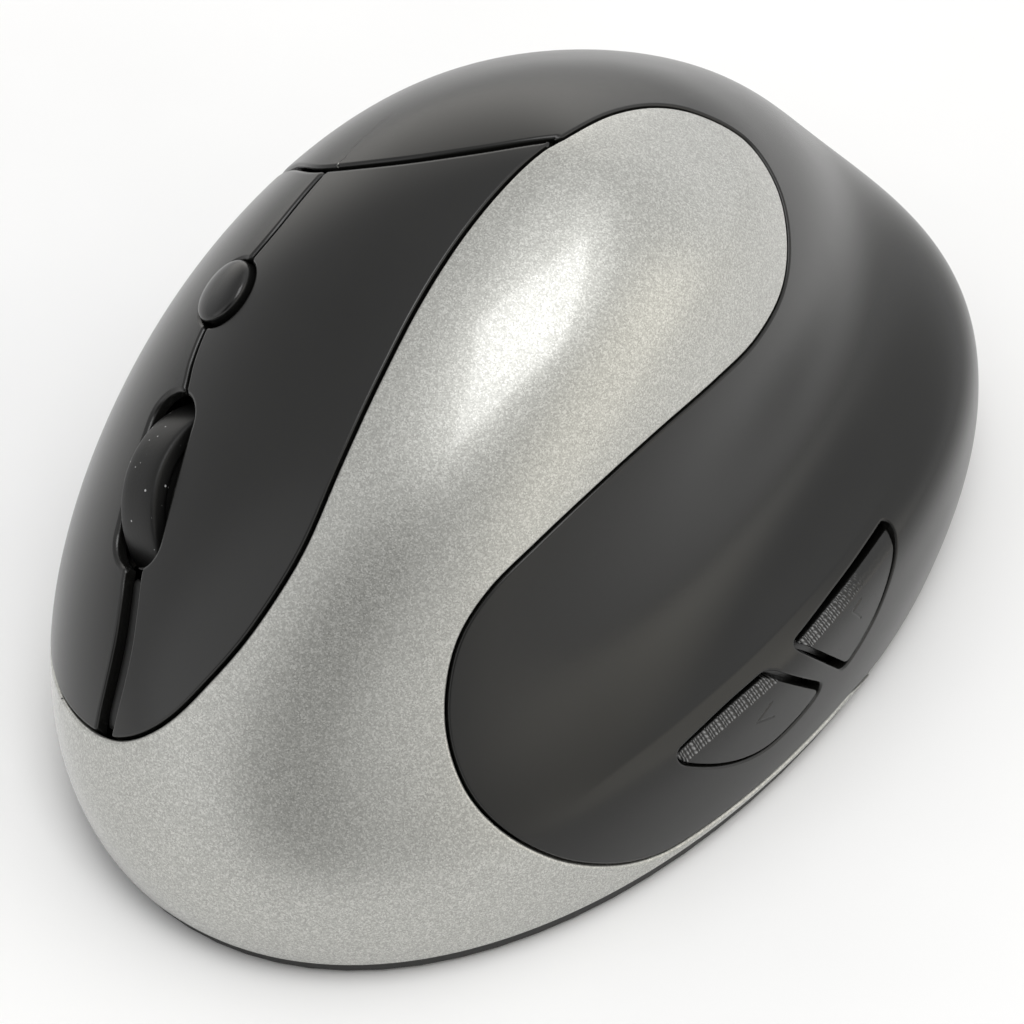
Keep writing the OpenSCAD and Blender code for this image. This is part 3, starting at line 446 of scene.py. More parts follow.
def panel(window, edges, thickness, relief=None, fold=None, walls=()):
    """A panel of the housing with rounded borders: returns points, faces and corner normals.

    Its border walls run along the skin's normal, except near the edges in walls, where they run
    along the given direction, which is the one that the neighbouring key or button travels in."""
    a, t, tri = grid(*window)
    p, n = skin_point(a, t), skin_normal(a, t)
    fields = np.stack([e.measure(p, n)[0] for e in edges], 1)
    values = np.concatenate([p, n, fields], 1)
    for k in range(len(edges)):
        values, tri = split(values, tri, FIELD + k, 0.0, True)
        values, tri = compact(values, tri)
    for k, e in enumerate(edges):
        for bend in BENDS:
            values, tri = split(values, tri, FIELD + k, bend * e.radius, False)
    if fold is not None:
        values = np.concatenate([values, fold(values[:, :3])[:, None]], 1)
        for level in FOLD_CUTS:
            values, tri = split(values, tri, values.shape[1] - 1, level, False)
    values, tri = compact(values, tri)
    p, n = values[:, :3], unit(values[:, 3:6])
    lean = np.zeros_like(p)
    radius = np.zeros(len(p))
    for k, e in enumerate(edges):
        near = values[:, FIELD + k] < e.radius
        if near.any():
            along = e.measure(p[near], n[near])[1]
            share = 1 - np.clip(values[near, FIELD + k] / e.radius, 0, 1)
            lean[near] -= share[:, None] * along
            radius[near] = np.maximum(radius[near], e.radius * (share > 0))
    size = np.linalg.norm(lean, axis=1)
    lean = np.where(size[:, None] > 1, lean / np.maximum(size, 1e-9)[:, None], lean)
    size = np.minimum(size, 1)
    rise = np.sqrt(np.maximum(0, 1 - size ** 2))
    top = p - n * (radius * (1 - rise))[:, None]
    normal = unit(n * rise[:, None] + lean)
    if relief is not None:
        top, normal = relief(top, normal, p, n)
    inward = n
    for which, axis in walls:
        least = values[:, [FIELD + k for k in which]].min(1)
        near = np.clip((WALL_FAR - least) / (WALL_FAR - WALL_NEAR), 0, 1)[:, None]
        inward = unit(inward * (1 - near) + np.array(axis, float) * near)
    return close_up(n, top, normal, tri, p - inward * thickness)


def close_up(n, top, normal, tri, inner):
    """Adds the border walls and the inner face, so that the panel is a closed solid."""
    count = len(top)
    e = np.concatenate([tri[:, [0, 1]], tri[:, [1, 2]], tri[:, [2, 0]]])
    key = np.minimum(e[:, 0], e[:, 1]) * count + np.maximum(e[:, 0], e[:, 1])
    _, first, times = np.unique(key, return_index=True, return_counts=True)
    border = e[first[times == 1]]
    b, c = border[:, 0], border[:, 1]
    points = np.concatenate([top, inner])
    faces = [tri, tri[:, ::-1] + count]
    corner = [normal[tri], -n[tri[:, ::-1]]]
    wall_b, wall_c = b + count, c + count
    faces += [np.stack([c, b, wall_b], 1), np.stack([c, wall_b, wall_c], 1)]
    side_b = unit(normal[b] - (normal[b] * n[b]).sum(1, keepdims=True) * n[b])
    side_c = unit(normal[c] - (normal[c] * n[c]).sum(1, keepdims=True) * n[c])
    corner += [np.stack([side_c, side_b, side_b], 1), np.stack([side_c, side_b, side_c], 1)]
    return points, np.concatenate(faces), np.concatenate(corner)


def make_object(name, points, faces, corner, body, nodes, material):
    """Piece from points in millimetres, riding on a body in place of its CAD nodes."""
    mesh = bpy.data.meshes.new(name)
    count = len(faces)
    mesh.vertices.add(len(points))
    mesh.vertices.foreach_set("co", (points * MM).astype(np.float32).ravel())
    mesh.loops.add(count * 3)
    mesh.loops.foreach_set("vertex_index", faces.astype(np.int32).ravel())
    mesh.polygons.add(count)
    mesh.polygons.foreach_set("loop_start", np.arange(count, dtype=np.int32) * 3)
    mesh.polygons.foreach_set("loop_total", np.full(count, 3, np.int32))
    mesh.update(calc_edges=True)
    mesh.validate()
    mesh.polygons.foreach_set("use_smooth", np.ones(len(mesh.polygons), bool))
    if corner is not None and len(mesh.polygons) == count:
        mesh.normals_split_custom_set(corner.reshape(-1, 3).tolist())
    obj = bpy.data.objects.new(name, mesh)
    bpy.context.scene.collection.objects.link(obj)
    mesh.materials.append(material)
    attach(obj, body)
    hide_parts(*nodes)
    return obj


# ------------------------------------------------------------- materials ----
def new_material(name):
    """New material, with its nodes, its links and its shader."""
    m = bpy.data.materials.new(name)
    m.use_nodes = True
    return m, m.node_tree.nodes, m.node_tree.links, m.node_tree.nodes["Principled BSDF"]


def add_noise(nodes, links, coords, scale, detail, rough):
    """Noise in the piece's own coordinates."""
    n = nodes.new("ShaderNodeTexNoise")
    n.inputs["Scale"].default_value = scale
    n.inputs["Detail"].default_value = detail
    n.inputs["Roughness"].default_value = rough
    links.new(coords.outputs["Object"], n.inputs["Vector"])
    return n


def add_ramp(nodes, links, source, stops):
    """Colour ramp of a value; the first two stops are the outer ones."""
    r = nodes.new("ShaderNodeValToRGB")
    r.color_ramp.elements[0].position, r.color_ramp.elements[0].color = stops[0][0], stops[0][1]
    r.color_ramp.elements[1].position, r.color_ramp.elements[1].color = stops[1][0], stops[1][1]
    for pos, col in stops[2:]:
        e = r.color_ramp.elements.new(pos)
        e.color = col
    links.new(source, r.inputs["Fac"])
    return r


def grey(v, tint=(1, 1, 1)):
    """Grey of brightness v, with an optional tint."""
    return (v * tint[0], v * tint[1], v * tint[2], 1)


def new_mix(nodes, links, factor, a, b, blend="MIX"):
    """Colour mix of two sources; a plain value is set on the socket itself."""
    mix = nodes.new("ShaderNodeMix")
    mix.data_type = "RGBA"
    mix.blend_type = blend
    for socket, value in (("Factor", factor), ("A", a), ("B", b)):
        if isinstance(value, bpy.types.NodeSocket):
            links.new(value, mix.inputs[socket])
        else:
            mix.inputs[socket].default_value = value
    return mix.outputs["Result"]


def plastic(name, colour, rough, grain, grain_scale=5200, tint=(1, 1, 0.97), spec=0.5, dust=0.0,
            crest_highlight=0.0):
    """Moulded plastic: fine spark-eroded grain, with colour and gloss that vary a little."""
    spread = 0.05
    m, nodes, links, b = new_material(name)
    c = nodes.new("ShaderNodeTexCoord")
    broad = add_noise(nodes, links, c, 45, 4, 0.6)
    fine = add_noise(nodes, links, c, grain_scale, 2, 0.6)
    lo, hi = colour * 0.88, colour * 1.14
    base = add_ramp(nodes, links, broad.outputs["Fac"], [(0.3, grey(lo, tint)), (0.7, grey(hi, tint))])
    shade = base.outputs["Color"]
    gloss = add_ramp(nodes, links, broad.outputs["Fac"],
                     [(0.25, grey(rough - spread / 2)), (0.75, grey(rough + spread / 2))])
    if dust > 0:
        spot = nodes.new("ShaderNodeTexVoronoi")
        spot.inputs["Scale"].default_value = 1300
        links.new(c.outputs["Object"], spot.inputs["Vector"])
        patch = add_noise(nodes, links, c, 420, 2, 0.5)
        size = add_ramp(nodes, links, patch.outputs["Fac"], [(0.46, grey(0)), (0.66, grey(0.17))])
        near = nodes.new("ShaderNodeMath")
        near.operation = "LESS_THAN"
        links.new(spot.outputs["Distance"], near.inputs[0])
        links.new(size.outputs["Color"], near.inputs[1])
        shade = new_mix(nodes, links, near.outputs[0], shade, grey(dust))
    # painted highlight: the knurl crests, marked by the crest attribute, are lightened towards this grey so
    # that they read as lit
    if crest_highlight > 0:
        crest = nodes.new("ShaderNodeAttribute")
        crest.attribute_name = "crest"
        shade = new_mix(nodes, links, crest.outputs["Fac"], shade, grey(crest_highlight))
    links.new(shade, b.inputs["Base Color"])
    links.new(gloss.outputs["Color"], b.inputs["Roughness"])
    bump = nodes.new("ShaderNodeBump")
    bump.inputs["Strength"].default_value = grain
    bump.inputs["Distance"].default_value = 0.00006
    links.new(fine.outputs["Fac"], bump.inputs["Height"])
    links.new(bump.outputs["Normal"], b.inputs["Normal"])
    b.inputs["Specular IOR Level"].default_value = spec
    return m


def flake_paint(name):
    """Silver paint: fine aluminium flakes of many tilts under a clear coat."""
    m, nodes, links, b = new_material(name)
    c = nodes.new("ShaderNodeTexCoord")
    cell = nodes.new("ShaderNodeTexVoronoi")
    cell.inputs["Scale"].default_value = 7500
    links.new(c.outputs["Object"], cell.inputs["Vector"])
    part = nodes.new("ShaderNodeSeparateColor")
    links.new(cell.outputs["Color"], part.inputs["Color"])
    tone = add_ramp(nodes, links, part.outputs["Red"],
                    [(0.0, (0.35, 0.35, 0.328, 1)), (1.0, (0.59, 0.59, 0.56, 1)),
                     (0.6, (0.45, 0.45, 0.423, 1))])
    broad = add_noise(nodes, links, c, 60, 3, 0.6)
    cloud = add_ramp(nodes, links, broad.outputs["Fac"], [(0.3, grey(0.95)), (0.7, grey(1.0))])
    shade = new_mix(nodes, links, 1.0, tone.outputs["Color"], cloud.outputs["Color"], "MULTIPLY")
    links.new(shade, b.inputs["Base Color"])
    rough = add_ramp(nodes, links, part.outputs["Green"], [(0.0, grey(0.36)), (1.0, grey(0.48))])
    links.new(rough.outputs["Color"], b.inputs["Roughness"])
    b.inputs["Metallic"].default_value = 0.85
    # each flake lies at its own slight tilt
    tilt = nodes.new("ShaderNodeBump")
    tilt.inputs["Strength"].default_value = 0.12
    tilt.inputs["Distance"].default_value = 0.00005
    links.new(part.outputs["Blue"], tilt.inputs["Height"])
    links.new(tilt.outputs["Normal"], b.inputs["Normal"])
    b.inputs["Coat Weight"].default_value = 1.0
    b.inputs["Coat Roughness"].default_value = 0.1
    b.inputs["Coat IOR"].default_value = 1.45
    return m


BLACK = plastic("satin_black", 0.007, 0.25, grain=0.1, tint=(1, 1, 0.9), spec=0.42)
KEY_BLACK = plastic("key_black", 0.007, 0.24, grain=0.06, tint=(1, 1, 0.92))
# the side buttons' knurl crests carry a painted highlight
FIN_BLACK = plastic("fin_black", 0.007, 0.26, grain=0.1, tint=(1, 1, 0.92), crest_highlight=0.24)
GLOSS = plastic("button_black", 0.006, 0.2, grain=0.05)
HUB = plastic("hub_black", 0.008, 0.4, grain=0.2, spec=0.3)
RUBBER = plastic("wheel_rubber", 0.006, 0.42, grain=0.25, grain_scale=3800, spec=0.3, dust=0.4)
SILVER = flake_paint("silver_flake")
INNER = plastic("inner_plastic", 0.03, 0.5, grain=0.3)
SWITCH = plastic("switch_plastic", 0.02, 0.42, grain=0.2)
WHITE = plastic("plunger_white", 0.75, 0.3, grain=0.1)
FOOT = plastic("foot_tape", 0.02, 0.25, grain=0.25, grain_scale=2600)
BASE = plastic("base_black", 0.014, 0.48, grain=0.45, grain_scale=2200)


def metal(name, colour, rough):
    """Plain metal, a little cloudy in colour and gloss."""
    m, nodes, links, b = new_material(name)
    c = nodes.new("ShaderNodeTexCoord")
    fine = add_noise(nodes, links, c, 900, 4, 0.7)
    tone = add_ramp(nodes, links, fine.outputs["Fac"],
                    [(0.3, tuple(0.85 * v for v in colour) + (1,)), (0.7, tuple(colour) + (1,))])
    gloss = add_ramp(nodes, links, fine.outputs["Fac"], [(0.3, grey(rough)), (0.7, grey(rough + 0.12))])
    links.new(tone.outputs["Color"], b.inputs["Base Color"])
    links.new(gloss.outputs["Color"], b.inputs["Roughness"])
    b.inputs["Metallic"].default_value = 1.0
    return m


def board_green():
    """Green solder mask with paler tracks."""
    m, nodes, links, b = new_material("solder_mask")
    c = nodes.new("ShaderNodeTexCoord")
    lines = nodes.new("ShaderNodeTexBrick")
    lines.inputs["Scale"].default_value = 260
    lines.inputs["Mortar Size"].default_value = 0.035
    lines.inputs["Color1"].default_value = (0.012, 0.085, 0.035, 1)
    lines.inputs["Color2"].default_value = (0.01, 0.07, 0.03, 1)
    lines.inputs["Mortar"].default_value = (0.03, 0.15, 0.07, 1)
    links.new(c.outputs["Object"], lines.inputs["Vector"])
    links.new(lines.outputs["Color"], b.inputs["Base Color"])
    fine = add_noise(nodes, links, c, 900, 2, 0.5)
    gloss = add_ramp(nodes, links, fine.outputs["Fac"], [(0.3, grey(0.28)), (0.7, grey(0.38))])
    links.new(gloss.outputs["Color"], b.inputs["Roughness"])
    return m


def cell_wrap():
    """Battery sleeve: plain coloured bands along the cell."""
    m, nodes, links, b = new_material("cell_sleeve")
    c = nodes.new("ShaderNodeTexCoord")
    xyz = nodes.new("ShaderNodeSeparateXYZ")
    links.new(c.outputs["Object"], xyz.inputs["Vector"])
    tone = add_ramp(nodes, links, xyz.outputs["Y"],
                    [(0.0, (0.05, 0.12, 0.3, 1)), (1.0, (0.05, 0.12, 0.3, 1)), (0.02, (0.6, 0.45, 0.12, 1)),
                     (0.034, (0.05, 0.12, 0.3, 1))])
    links.new(tone.outputs["Color"], b.inputs["Base Color"])
    fine = add_noise(nodes, links, c, 300, 2, 0.5)
    gloss = add_ramp(nodes, links, fine.outputs["Fac"], [(0.3, grey(0.2)), (0.7, grey(0.3))])
    links.new(gloss.outputs["Color"], b.inputs["Roughness"])
    return m


def clear_lens():
    """Clear moulded plastic."""
    m, nodes, links, b = new_material("clear_lens")
    c = nodes.new("ShaderNodeTexCoord")
    fine = add_noise(nodes, links, c, 400, 2, 0.5)
    gloss = add_ramp(nodes, links, fine.outputs["Fac"], [(0.3, grey(0.04)), (0.7, grey(0.1))])
    links.new(gloss.outputs["Color"], b.inputs["Roughness"])
    b.inputs["Base Color"].default_value = (0.93, 0.96, 0.98, 1)
    b.inputs["Transmission Weight"].default_value = 0.9
    return m


STEEL = metal("zinc_steel", (0.62, 0.62, 0.64), 0.25)
BRASS = metal("nickel_contact", (0.72, 0.68, 0.56), 0.22)
CAD_LOOKS = {
    INNER: ("left_key_arm", "right_key_arm", "key_frame", "wheel_carrier", "power_slider"),
    HUB: ("wheel_hub",),
    STEEL: ("key_hinge_pin", "wheel_axle", "board_screws", "power_switch", "case_screws"),
    SWITCH: ("left_switch", "right_switch", "middle_switch", "oval_switch", "oval_plunger", "wheel_encoder",
             "forward_switch", "back_switch", "forward_plunger", "back_plunger", "optical_sensor",
             "controller_chip"),
    WHITE: ("left_plunger", "right_plunger", "middle_plunger"),
    board_green(): ("key_board", "side_board", "main_board"),
    BASE: ("bottom_case", "battery_door"),
    BRASS: ("battery_springs", "battery_contacts"),
    cell_wrap(): ("battery_cells",),
    clear_lens(): ("sensor_lens",),
    FOOT: ("glide_feet",),
}
for look, names in CAD_LOOKS.items():
    for name in names:
        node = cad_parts[name]
        if not node.material_slots:
            node.data.materials.append(look)
        for s in node.material_slots:
            s.material = look

# -------------------------------------------------------- visible panels ----
GAP = 0.24
SKIN_WALL, KEY_WALL = 1.5, 1.4
THUMB_X = 24


# Parts of the skin that an edge can be kept to
def on_thumb(p):
    return p[:, 0] > THUMB_X


def before_skirt(p):
    return (p[:, 0] > SKIRT_X) & (p @ CORNER[:, 2] > 0)


def on_skirt(p):
    return p[:, 0] <= SKIRT_X


def right_of_skirt(p):
    return p[:, 0] > SKIRT_X


def behind_corner(p):
    return (p[:, 0] > SKIRT_X) & (p @ CORNER[:, 2] <= 0)


# Crease between the thumb hollow and the ledge, in a plane that leans with the skin there
CREASE = curve([[-33, 18.2], [-26, 19.15], [-18, 20.35], [-8, 21.25], [2, 21.4], [10, 21.0], [20, 19.85],
                [26, 19.0]], 6)
LEAN = np.array([0.89, 0, -0.45])
CREASE_X, CREASE_MID, CREASE_HALF, CREASE_FADE = 20, -3.5, 29, 10
RIDGE, RIDGE_WIDTH, RIDGE_ROUND = 0.3, 1.9, 0.12
AWAY = 40.0


def past_crease(p):
    """How far a point of the skin lies outside the crease, towards the desk."""
    by_crease = (p[:, 0] > CREASE_X) & (np.abs(p[:, 1] - CREASE_MID) < CREASE_HALF + 2)
    return p @ LEAN - np.interp(p[:, 1], CREASE[:, 0], CREASE[:, 1]) + np.where(by_crease, 0.0, AWAY)


def pinch(top, normal, p, n):
    """Draws the skin up to a soft edge along the crease."""
    d = past_crease(p)
    ends = np.clip((CREASE_HALF - np.abs(p[:, 1] - CREASE_MID)) / CREASE_FADE, 0, 1)
    height = RIDGE * ends * ends * (3 - 2 * ends)
    round_d = np.sqrt(d * d + RIDGE_ROUND ** 2)
    lift = height * np.exp(-(round_d - RIDGE_ROUND) / RIDGE_WIDTH)
    along = LEAN - (n @ LEAN)[:, None] * n
    along /= np.maximum(np.linalg.norm(along, axis=1), 0.3)[:, None]
    slope = -lift / RIDGE_WIDTH * d / round_d
    return top + n * lift[:, None], unit(normal - along * slope[:, None])


quality = (1.0)


def cells(window, across, up):
    return window[0], window[1], int(across * quality), window[2], window[3], int(up * quality)


WHOLE = cells((0, 360, 0, 1), 560, 240)
RIM = Height(RIM_Z, 0.7)


def add_shell():
    """Black shell over the back, the thumb hollow and its ledge."""
    edges = [
        RIM,
        Edge(KEYS, KEY_LOOP, GAP / 2, 0.4, outside=True),
        Edge(CORNER, TONGUE, GAP / 2, 0.3, outside=True, only=before_skirt),
        Edge(SIDE, SKIRT, GAP / 2, 0.3, outside=True, only=on_skirt),
        Edge(SIDE, FORWARD, 0.0, 0.28, outside=True, only=on_thumb),
        Edge(SIDE, BACK, 0.0, 0.28, outside=True, only=on_thumb),
    ]
    walls = (((1,), KEYS[:, 2]), ((4, 5), SIDE[:, 2]))
    points, faces, corner = panel(WHOLE, edges, SKIN_WALL, pinch, past_crease, walls)
    make_object("shell_black", points, faces, corner, "housing", ["main_shell"], BLACK)


def add_silver():
    """Silver panel: the tongue over the top, and the skirt round the nose and along both sides."""
    edges = [
        RIM,
        Edge(CORNER, TONGUE, GAP / 2, 0.35, only=right_of_skirt, barred=behind_corner),
        Edge(SIDE, SKIRT, GAP / 2, 0.35, only=on_skirt),
        Edge(KEYS, KEY_LOOP, GAP / 2, 0.35, outside=True),
    ]
    points, faces, corner = panel(WHOLE, edges, SKIN_WALL, walls=(((3,), KEYS[:, 2]),))
    make_object("panel_silver", points, faces, corner, "housing", ["silver_panel"], SILVER)


def window_of(plane, loop, margin=2.0):
    """Window of angle and rise that holds a loop drawn in a sketch plane."""
    a, t = np.meshgrid(np.arange(0, 360, 1.5), np.linspace(0, 1, 121), indexing="ij")
    a, t = a.ravel(), t.ravel()
    p, n = skin_point(a, t), skin_normal(a, t)
    d, _ = Edge(plane, loop, 0, 1).flat(p)
    hit = (d > -margin) & (n @ plane[:, 2] > 0.02) & (p @ plane[:, 2] > 0)
    a, t = a[hit], t[hit]
    turned = (a + 180) % 360 - 180
    if turned.max() - turned.min() < 300:
        a = turned
    return a.min() - 1, a.max() + 1, max(0, t.min() - 0.01), min(1, t.max() + 0.01)


def locate(plane, q):
    """The skin's point under each point of a sketch plane."""
    a, t = np.meshgrid(np.arange(0, 360, 3.0), np.linspace(0.01, 0.99, 60), indexing="ij")
    a, t = a.ravel(), t.ravel()
    p, n = skin_point(a, t), skin_normal(a, t)
    ok = (n @ plane[:, 2] > 0.05) & (p @ plane[:, 2] > 0)
    a, t, flat = a[ok], t[ok], (p @ plane[:, :2])[ok]
    k = np.array([((flat - v) ** 2).sum(1).argmin() for v in q])
    a, t = a[k], t[k]
    for _ in range(8):
        here = skin_point(a, t) @ plane[:, :2]
        da = (skin_point(a + 0.01, t) @ plane[:, :2] - here) / 0.01
        dt = (skin_point(a, np.minimum(t + 1e-4, 1)) @ plane[:, :2] - here) / 1e-4
        miss = q - here
        det = da[:, 0] * dt[:, 1] - da[:, 1] * dt[:, 0]
        det = np.where(np.abs(det) < 1e-9, 1e-9, det)
        a = a + np.clip((miss[:, 0] * dt[:, 1] - miss[:, 1] * dt[:, 0]) / det, -4, 4)
        rise = np.clip((da[:, 0] * miss[:, 1] - da[:, 1] * miss[:, 0]) / det, -0.05, 0.05)
        t = np.clip(t + rise, 0, 0.999)
    return skin_point(a, t)


IN_FRONT = np.concatenate([KEY_REAR, [[60, 43], [60, -80], [-80, -80], [-80, 18]]])
BAND_Y, BAND_HALF, OVAL_GAP = -11.5, 1.2, 0.35


def add_keys():
    """Keys, well rounded along the rear border and the wheel's slot.

    In front of the slot they stand apart, and the rib lies between them."""
    band = SEAM[SEAM[:, 1] <= BAND_Y]
    band_loop = np.concatenate([band - [BAND_HALF, 0], band[::-1] + [BAND_HALF, 0]])
    key_grid = cells(window_of(KEYS, KEY_LOOP), 330, 260)
    for name, body, left in (("key_left", "left_key", True), ("key_right", "right_key", False)):
        edges = [
            Edge(KEYS, KEY_LOOP, 0.18, 0.3),
            Edge(KEYS, IN_FRONT, GAP / 2, 0.9),
            Edge(KEYS, SEAM, 0.22, 0.4, outside=not left, closed=False),
            Edge(KEYS, rounded_slot(), 0.0, 0.55, outside=True),
            Edge(KEYS, oval_loop(OVAL_GAP), 0.0, 0.45, outside=True),
            Edge(KEYS, band_loop, 0.0, 0.35, outside=True),
        ]
        walls = ((range(len(edges)), KEYS[:, 2]),)
        points, faces, corner = panel(key_grid, edges, KEY_WALL, walls=walls)
        make_object(name, points, faces, corner, body, [body], KEY_BLACK)


# -------------------------------------------------------- smaller pieces ----
UP = KEYS[:, 2]


def lattice(rows, loop=False):
    """Closed skin through rings of points: a tube with both ends shut, or a torus."""
    rows = np.array(rows)
    m, n = rows.shape[:2]
    points = rows.reshape(-1, 3)
    i, k = np.meshgrid(np.arange(m if loop else m - 1), np.arange(n), indexing="ij")
    i, k = i.ravel(), k.ravel()
    a, b = i * n + k, i * n + (k + 1) % n
    c, d = (i + 1) % m * n + (k + 1) % n, (i + 1) % m * n + k
    faces = [np.stack([a, b, c], 1), np.stack([a, c, d], 1)]
    if not loop:
        k = np.arange(n)
        for ring, turn in ((0, -1), (m - 1, 1)):
            points = np.concatenate([points, rows[ring].mean(0)[None]])
            fan = np.stack([ring * n + k, ring * n + (k + 1) % n, np.full(n, len(points) - 1)], 1)
            faces.append(fan[:, ::turn])
    return points, np.concatenate(faces)


def add_oval():
    """Oval button: its crowned top follows the skin, with a well rounded edge."""
    section = [(0, -4.2), (0, -1.0), (0, 0.15), (0, 0.32), (-0.04, 0.5), (-0.12, 0.66), (-0.25, 0.79),
               (-0.43, 0.89), (-0.66, 0.97), (-0.95, 1.04), (-1.3, 1.1), (-1.7, 1.14), (-2.15, 1.17),
               (-2.6, 1.185), (-2.95, 1.19)]
    rings = [locate(KEYS, oval_loop(grow)) + UP * height for grow, height in section]
    points, faces = lattice(rings)
    make_object("oval", points, faces, None, "oval_button", ["oval_button"], GLOSS)


def add_tyre(steps=256):
    """Tyre: flat smooth tread with crisp shoulders and slightly dished side faces."""
    side = [(0, WHEEL_R), (0.8, 9.99), (1.5, 9.95), (2.0, 9.88), (2.2, 9.83), (2.36, 9.75), (2.47, 9.62),
            (2.53, 9.45), (2.55, 9.2), (2.55, 8.8), (2.54, 8.4), (2.5, 8.05)]
    half = np.array(side)
    profile = np.concatenate([half[:0:-1] * [-1, 1], half])
    b = np.arange(steps) * 2 * math.pi / steps
    turn = rotation(0, 0, WHEEL_TWIST)
    centre = KEYS @ np.array([WHEEL_AT[0], WHEEL_AT[1], WHEEL_Z])
    rows = []
    for x, r in profile:
        ring = np.stack([np.full(steps, x), r * np.cos(b), r * np.sin(b)], 1)
        rows.append(ring @ (KEYS @ turn).T + centre)
    points, faces = lattice(rows, loop=True)
    make_object("tyre", points, faces, None, "wheel", ["wheel_tyre"], RUBBER)


def add_rib():
    """Strip in the seam in front of the wheel, a little below the keys, with rounded ends."""
    rear_y, front_y = -12.3, -27.3
    base = locate(KEYS, SEAM[(SEAM[:, 1] < rear_y) & (SEAM[:, 1] > front_y)])
    foot = -2.8
    half = [(0.92, foot), (0.92, -1.3), (0.9, -1.15), (0.82, -1.03), (0.7, -0.95), (0.5, -0.91),
            (0.25, -0.89)]
    section = half + [(0, -0.885)] + [(-s, h) for s, h in half[::-1]]
    end_drops = (0.3, 0.12, 0.03)
    rows = []
    for i, p in enumerate(base):
        end = min(i, len(base) - 1 - i)
        drop = end_drops[end] if end < len(end_drops) else 0.0
        rows.append([p + KEYS[:, 0] * s + UP * (h if h == foot else h - drop) for s, h in section])
    points, faces = lattice(rows)
    make_object("rib", points, faces, None, "housing", ["centre_rib"], HUB)


def zigzag(v):
    """Rises from 0 to 1 and falls back once in each unit of v."""
    return 1 - np.abs(2 * (v % 1) - 1)


def top_normals(points, faces, corner):
    """Normals of the outer face taken from its own triangles, once it has its relief."""
    top = (faces < len(points) // 2).all(1)
    f = faces[top]
    flat = np.cross(points[f[:, 1]] - points[f[:, 0]], points[f[:, 2]] - points[f[:, 0]])
    total = np.zeros_like(points)
    for k in range(3):
        np.add.at(total, f[:, k], flat)
    corner[top] = unit(total)[f]
    return corner


FIN_EDGE, FIN_SINK, FIN_LEAN, FIN_LEAN_REACH = 0.45, 0.07, 0.12, 8
RAMP, RAMP_DEPTH = 1.4, 0.5
KNURL, KNURL_ALONG, KNURL_DOWN, KNURL_WANDER = 0.2, 0.36, 0.46, 0.12
STROKE_HALF, STROKE_DEPTH = 0.16, 0.09
BLADE, FLANGE_TOP, FLANGE_FOOT, FLANGE_GROW = 2.4, 2.35, 3.0, 0.5


def add_fin(name, body, loop, top_run, strokes, knurl_reach):
    """Side button: a nearly flush blade whose top falls away in a knurled ramp, on a wider flange."""
    crest_highlight_masks = []

    def relief(top, normal, p, n):
        q = p @ SIDE[:, :2]
        along, from_top = q[:, 0], to_segments(q, top_run[:-1], top_run[1:])[0] - FIN_EDGE
        ramp = np.clip(1 - from_top / RAMP, 0, 1)
        depth = FIN_SINK + FIN_LEAN * np.clip(1 - from_top / FIN_LEAN_REACH, 0, 1) + RAMP_DEPTH * ramp
        rows = np.clip(from_top / 0.12, 0, 1) * np.clip((RAMP - from_top) / 0.2, 0, 1)
        fade = np.clip((knurl_reach[1] - along) / (knurl_reach[1] - knurl_reach[0]), 0.12, 1)
        shift = KNURL_WANDER * np.sin(along * 5.1) * np.sin(along * 1.7)
        down = 0.3 + 0.7 * zigzag((from_top + shift) / KNURL_DOWN)
        bump = zigzag((along + shift) / KNURL_ALONG) * down * rows * fade
        # share of the painted highlight that each point of the knurl crests takes
        crest_highlight_masks.append(np.clip(bump * 1.7 - 0.35, 0, 1))
        cut = np.zeros(len(q))
        for a, b in strokes:
            d, _ = to_segments(q, np.array([a], float), np.array([b], float))
            cut = np.maximum(cut, np.clip(1 - d / STROKE_HALF, 0, 1) * STROKE_DEPTH)
        return top - n * (depth - KNURL * bump + cut)[:, None], normal

    def sink(top, normal, p, n):
        return top - n * FLANGE_TOP, normal

    window = window_of(SIDE, loop, 1.0)
    edges = [Edge(SIDE, loop, GAP, 0.2, only=on_thumb)]
    points, faces, corner = panel(cells(window, 430, 240), edges, BLADE, relief,
                                  walls=(((0,), SIDE[:, 2]),))
    corner = top_normals(points, faces, corner)
    coarse = (window[0], window[1], 60, window[2], window[3], 40)
    flange = [Edge(SIDE, loop, -FLANGE_GROW, 0.1, only=on_thumb)]
    back_points, back_faces, back_corner = panel(coarse, flange, FLANGE_FOOT, sink)
    faces = np.concatenate([faces, back_faces + len(points)])
    points = np.concatenate([points, back_points])
    obj = make_object(name, points, faces, np.concatenate([corner, back_corner]), body, [body],
                      FIN_BLACK)
    crest = np.zeros(len(points), np.float32)
    crest[:len(crest_highlight_masks[0])] = crest_highlight_masks[0]
    obj.data.attributes.new("crest", "FLOAT", "POINT").data.foreach_set("value", crest)


add_shell()
add_silver()
add_keys()
add_oval()
add_tyre()
add_rib()
add_fin("fin_forward", "forward_button",
        fin_loop(FORWARD_TOP, FORWARD_LOW, (FORWARD_LOW[0], FORWARD_TOP[-1])), FORWARD_TOP,
        [((-10, 13.2), (-7.6, 12.2)), ((-10, 13.2), (-7.6, 14.2))], (20, 30))
add_fin("fin_back", "back_button",
        fin_loop(BACK_TOP, BACK_LOW, (BACK_TOP[0], BACK_LOW[-1])), BACK_TOP,
        [((5.9, 15.6), (7.0, 13.9)), ((5.9, 15.6), (7.5, 16.0))], (3, 11))


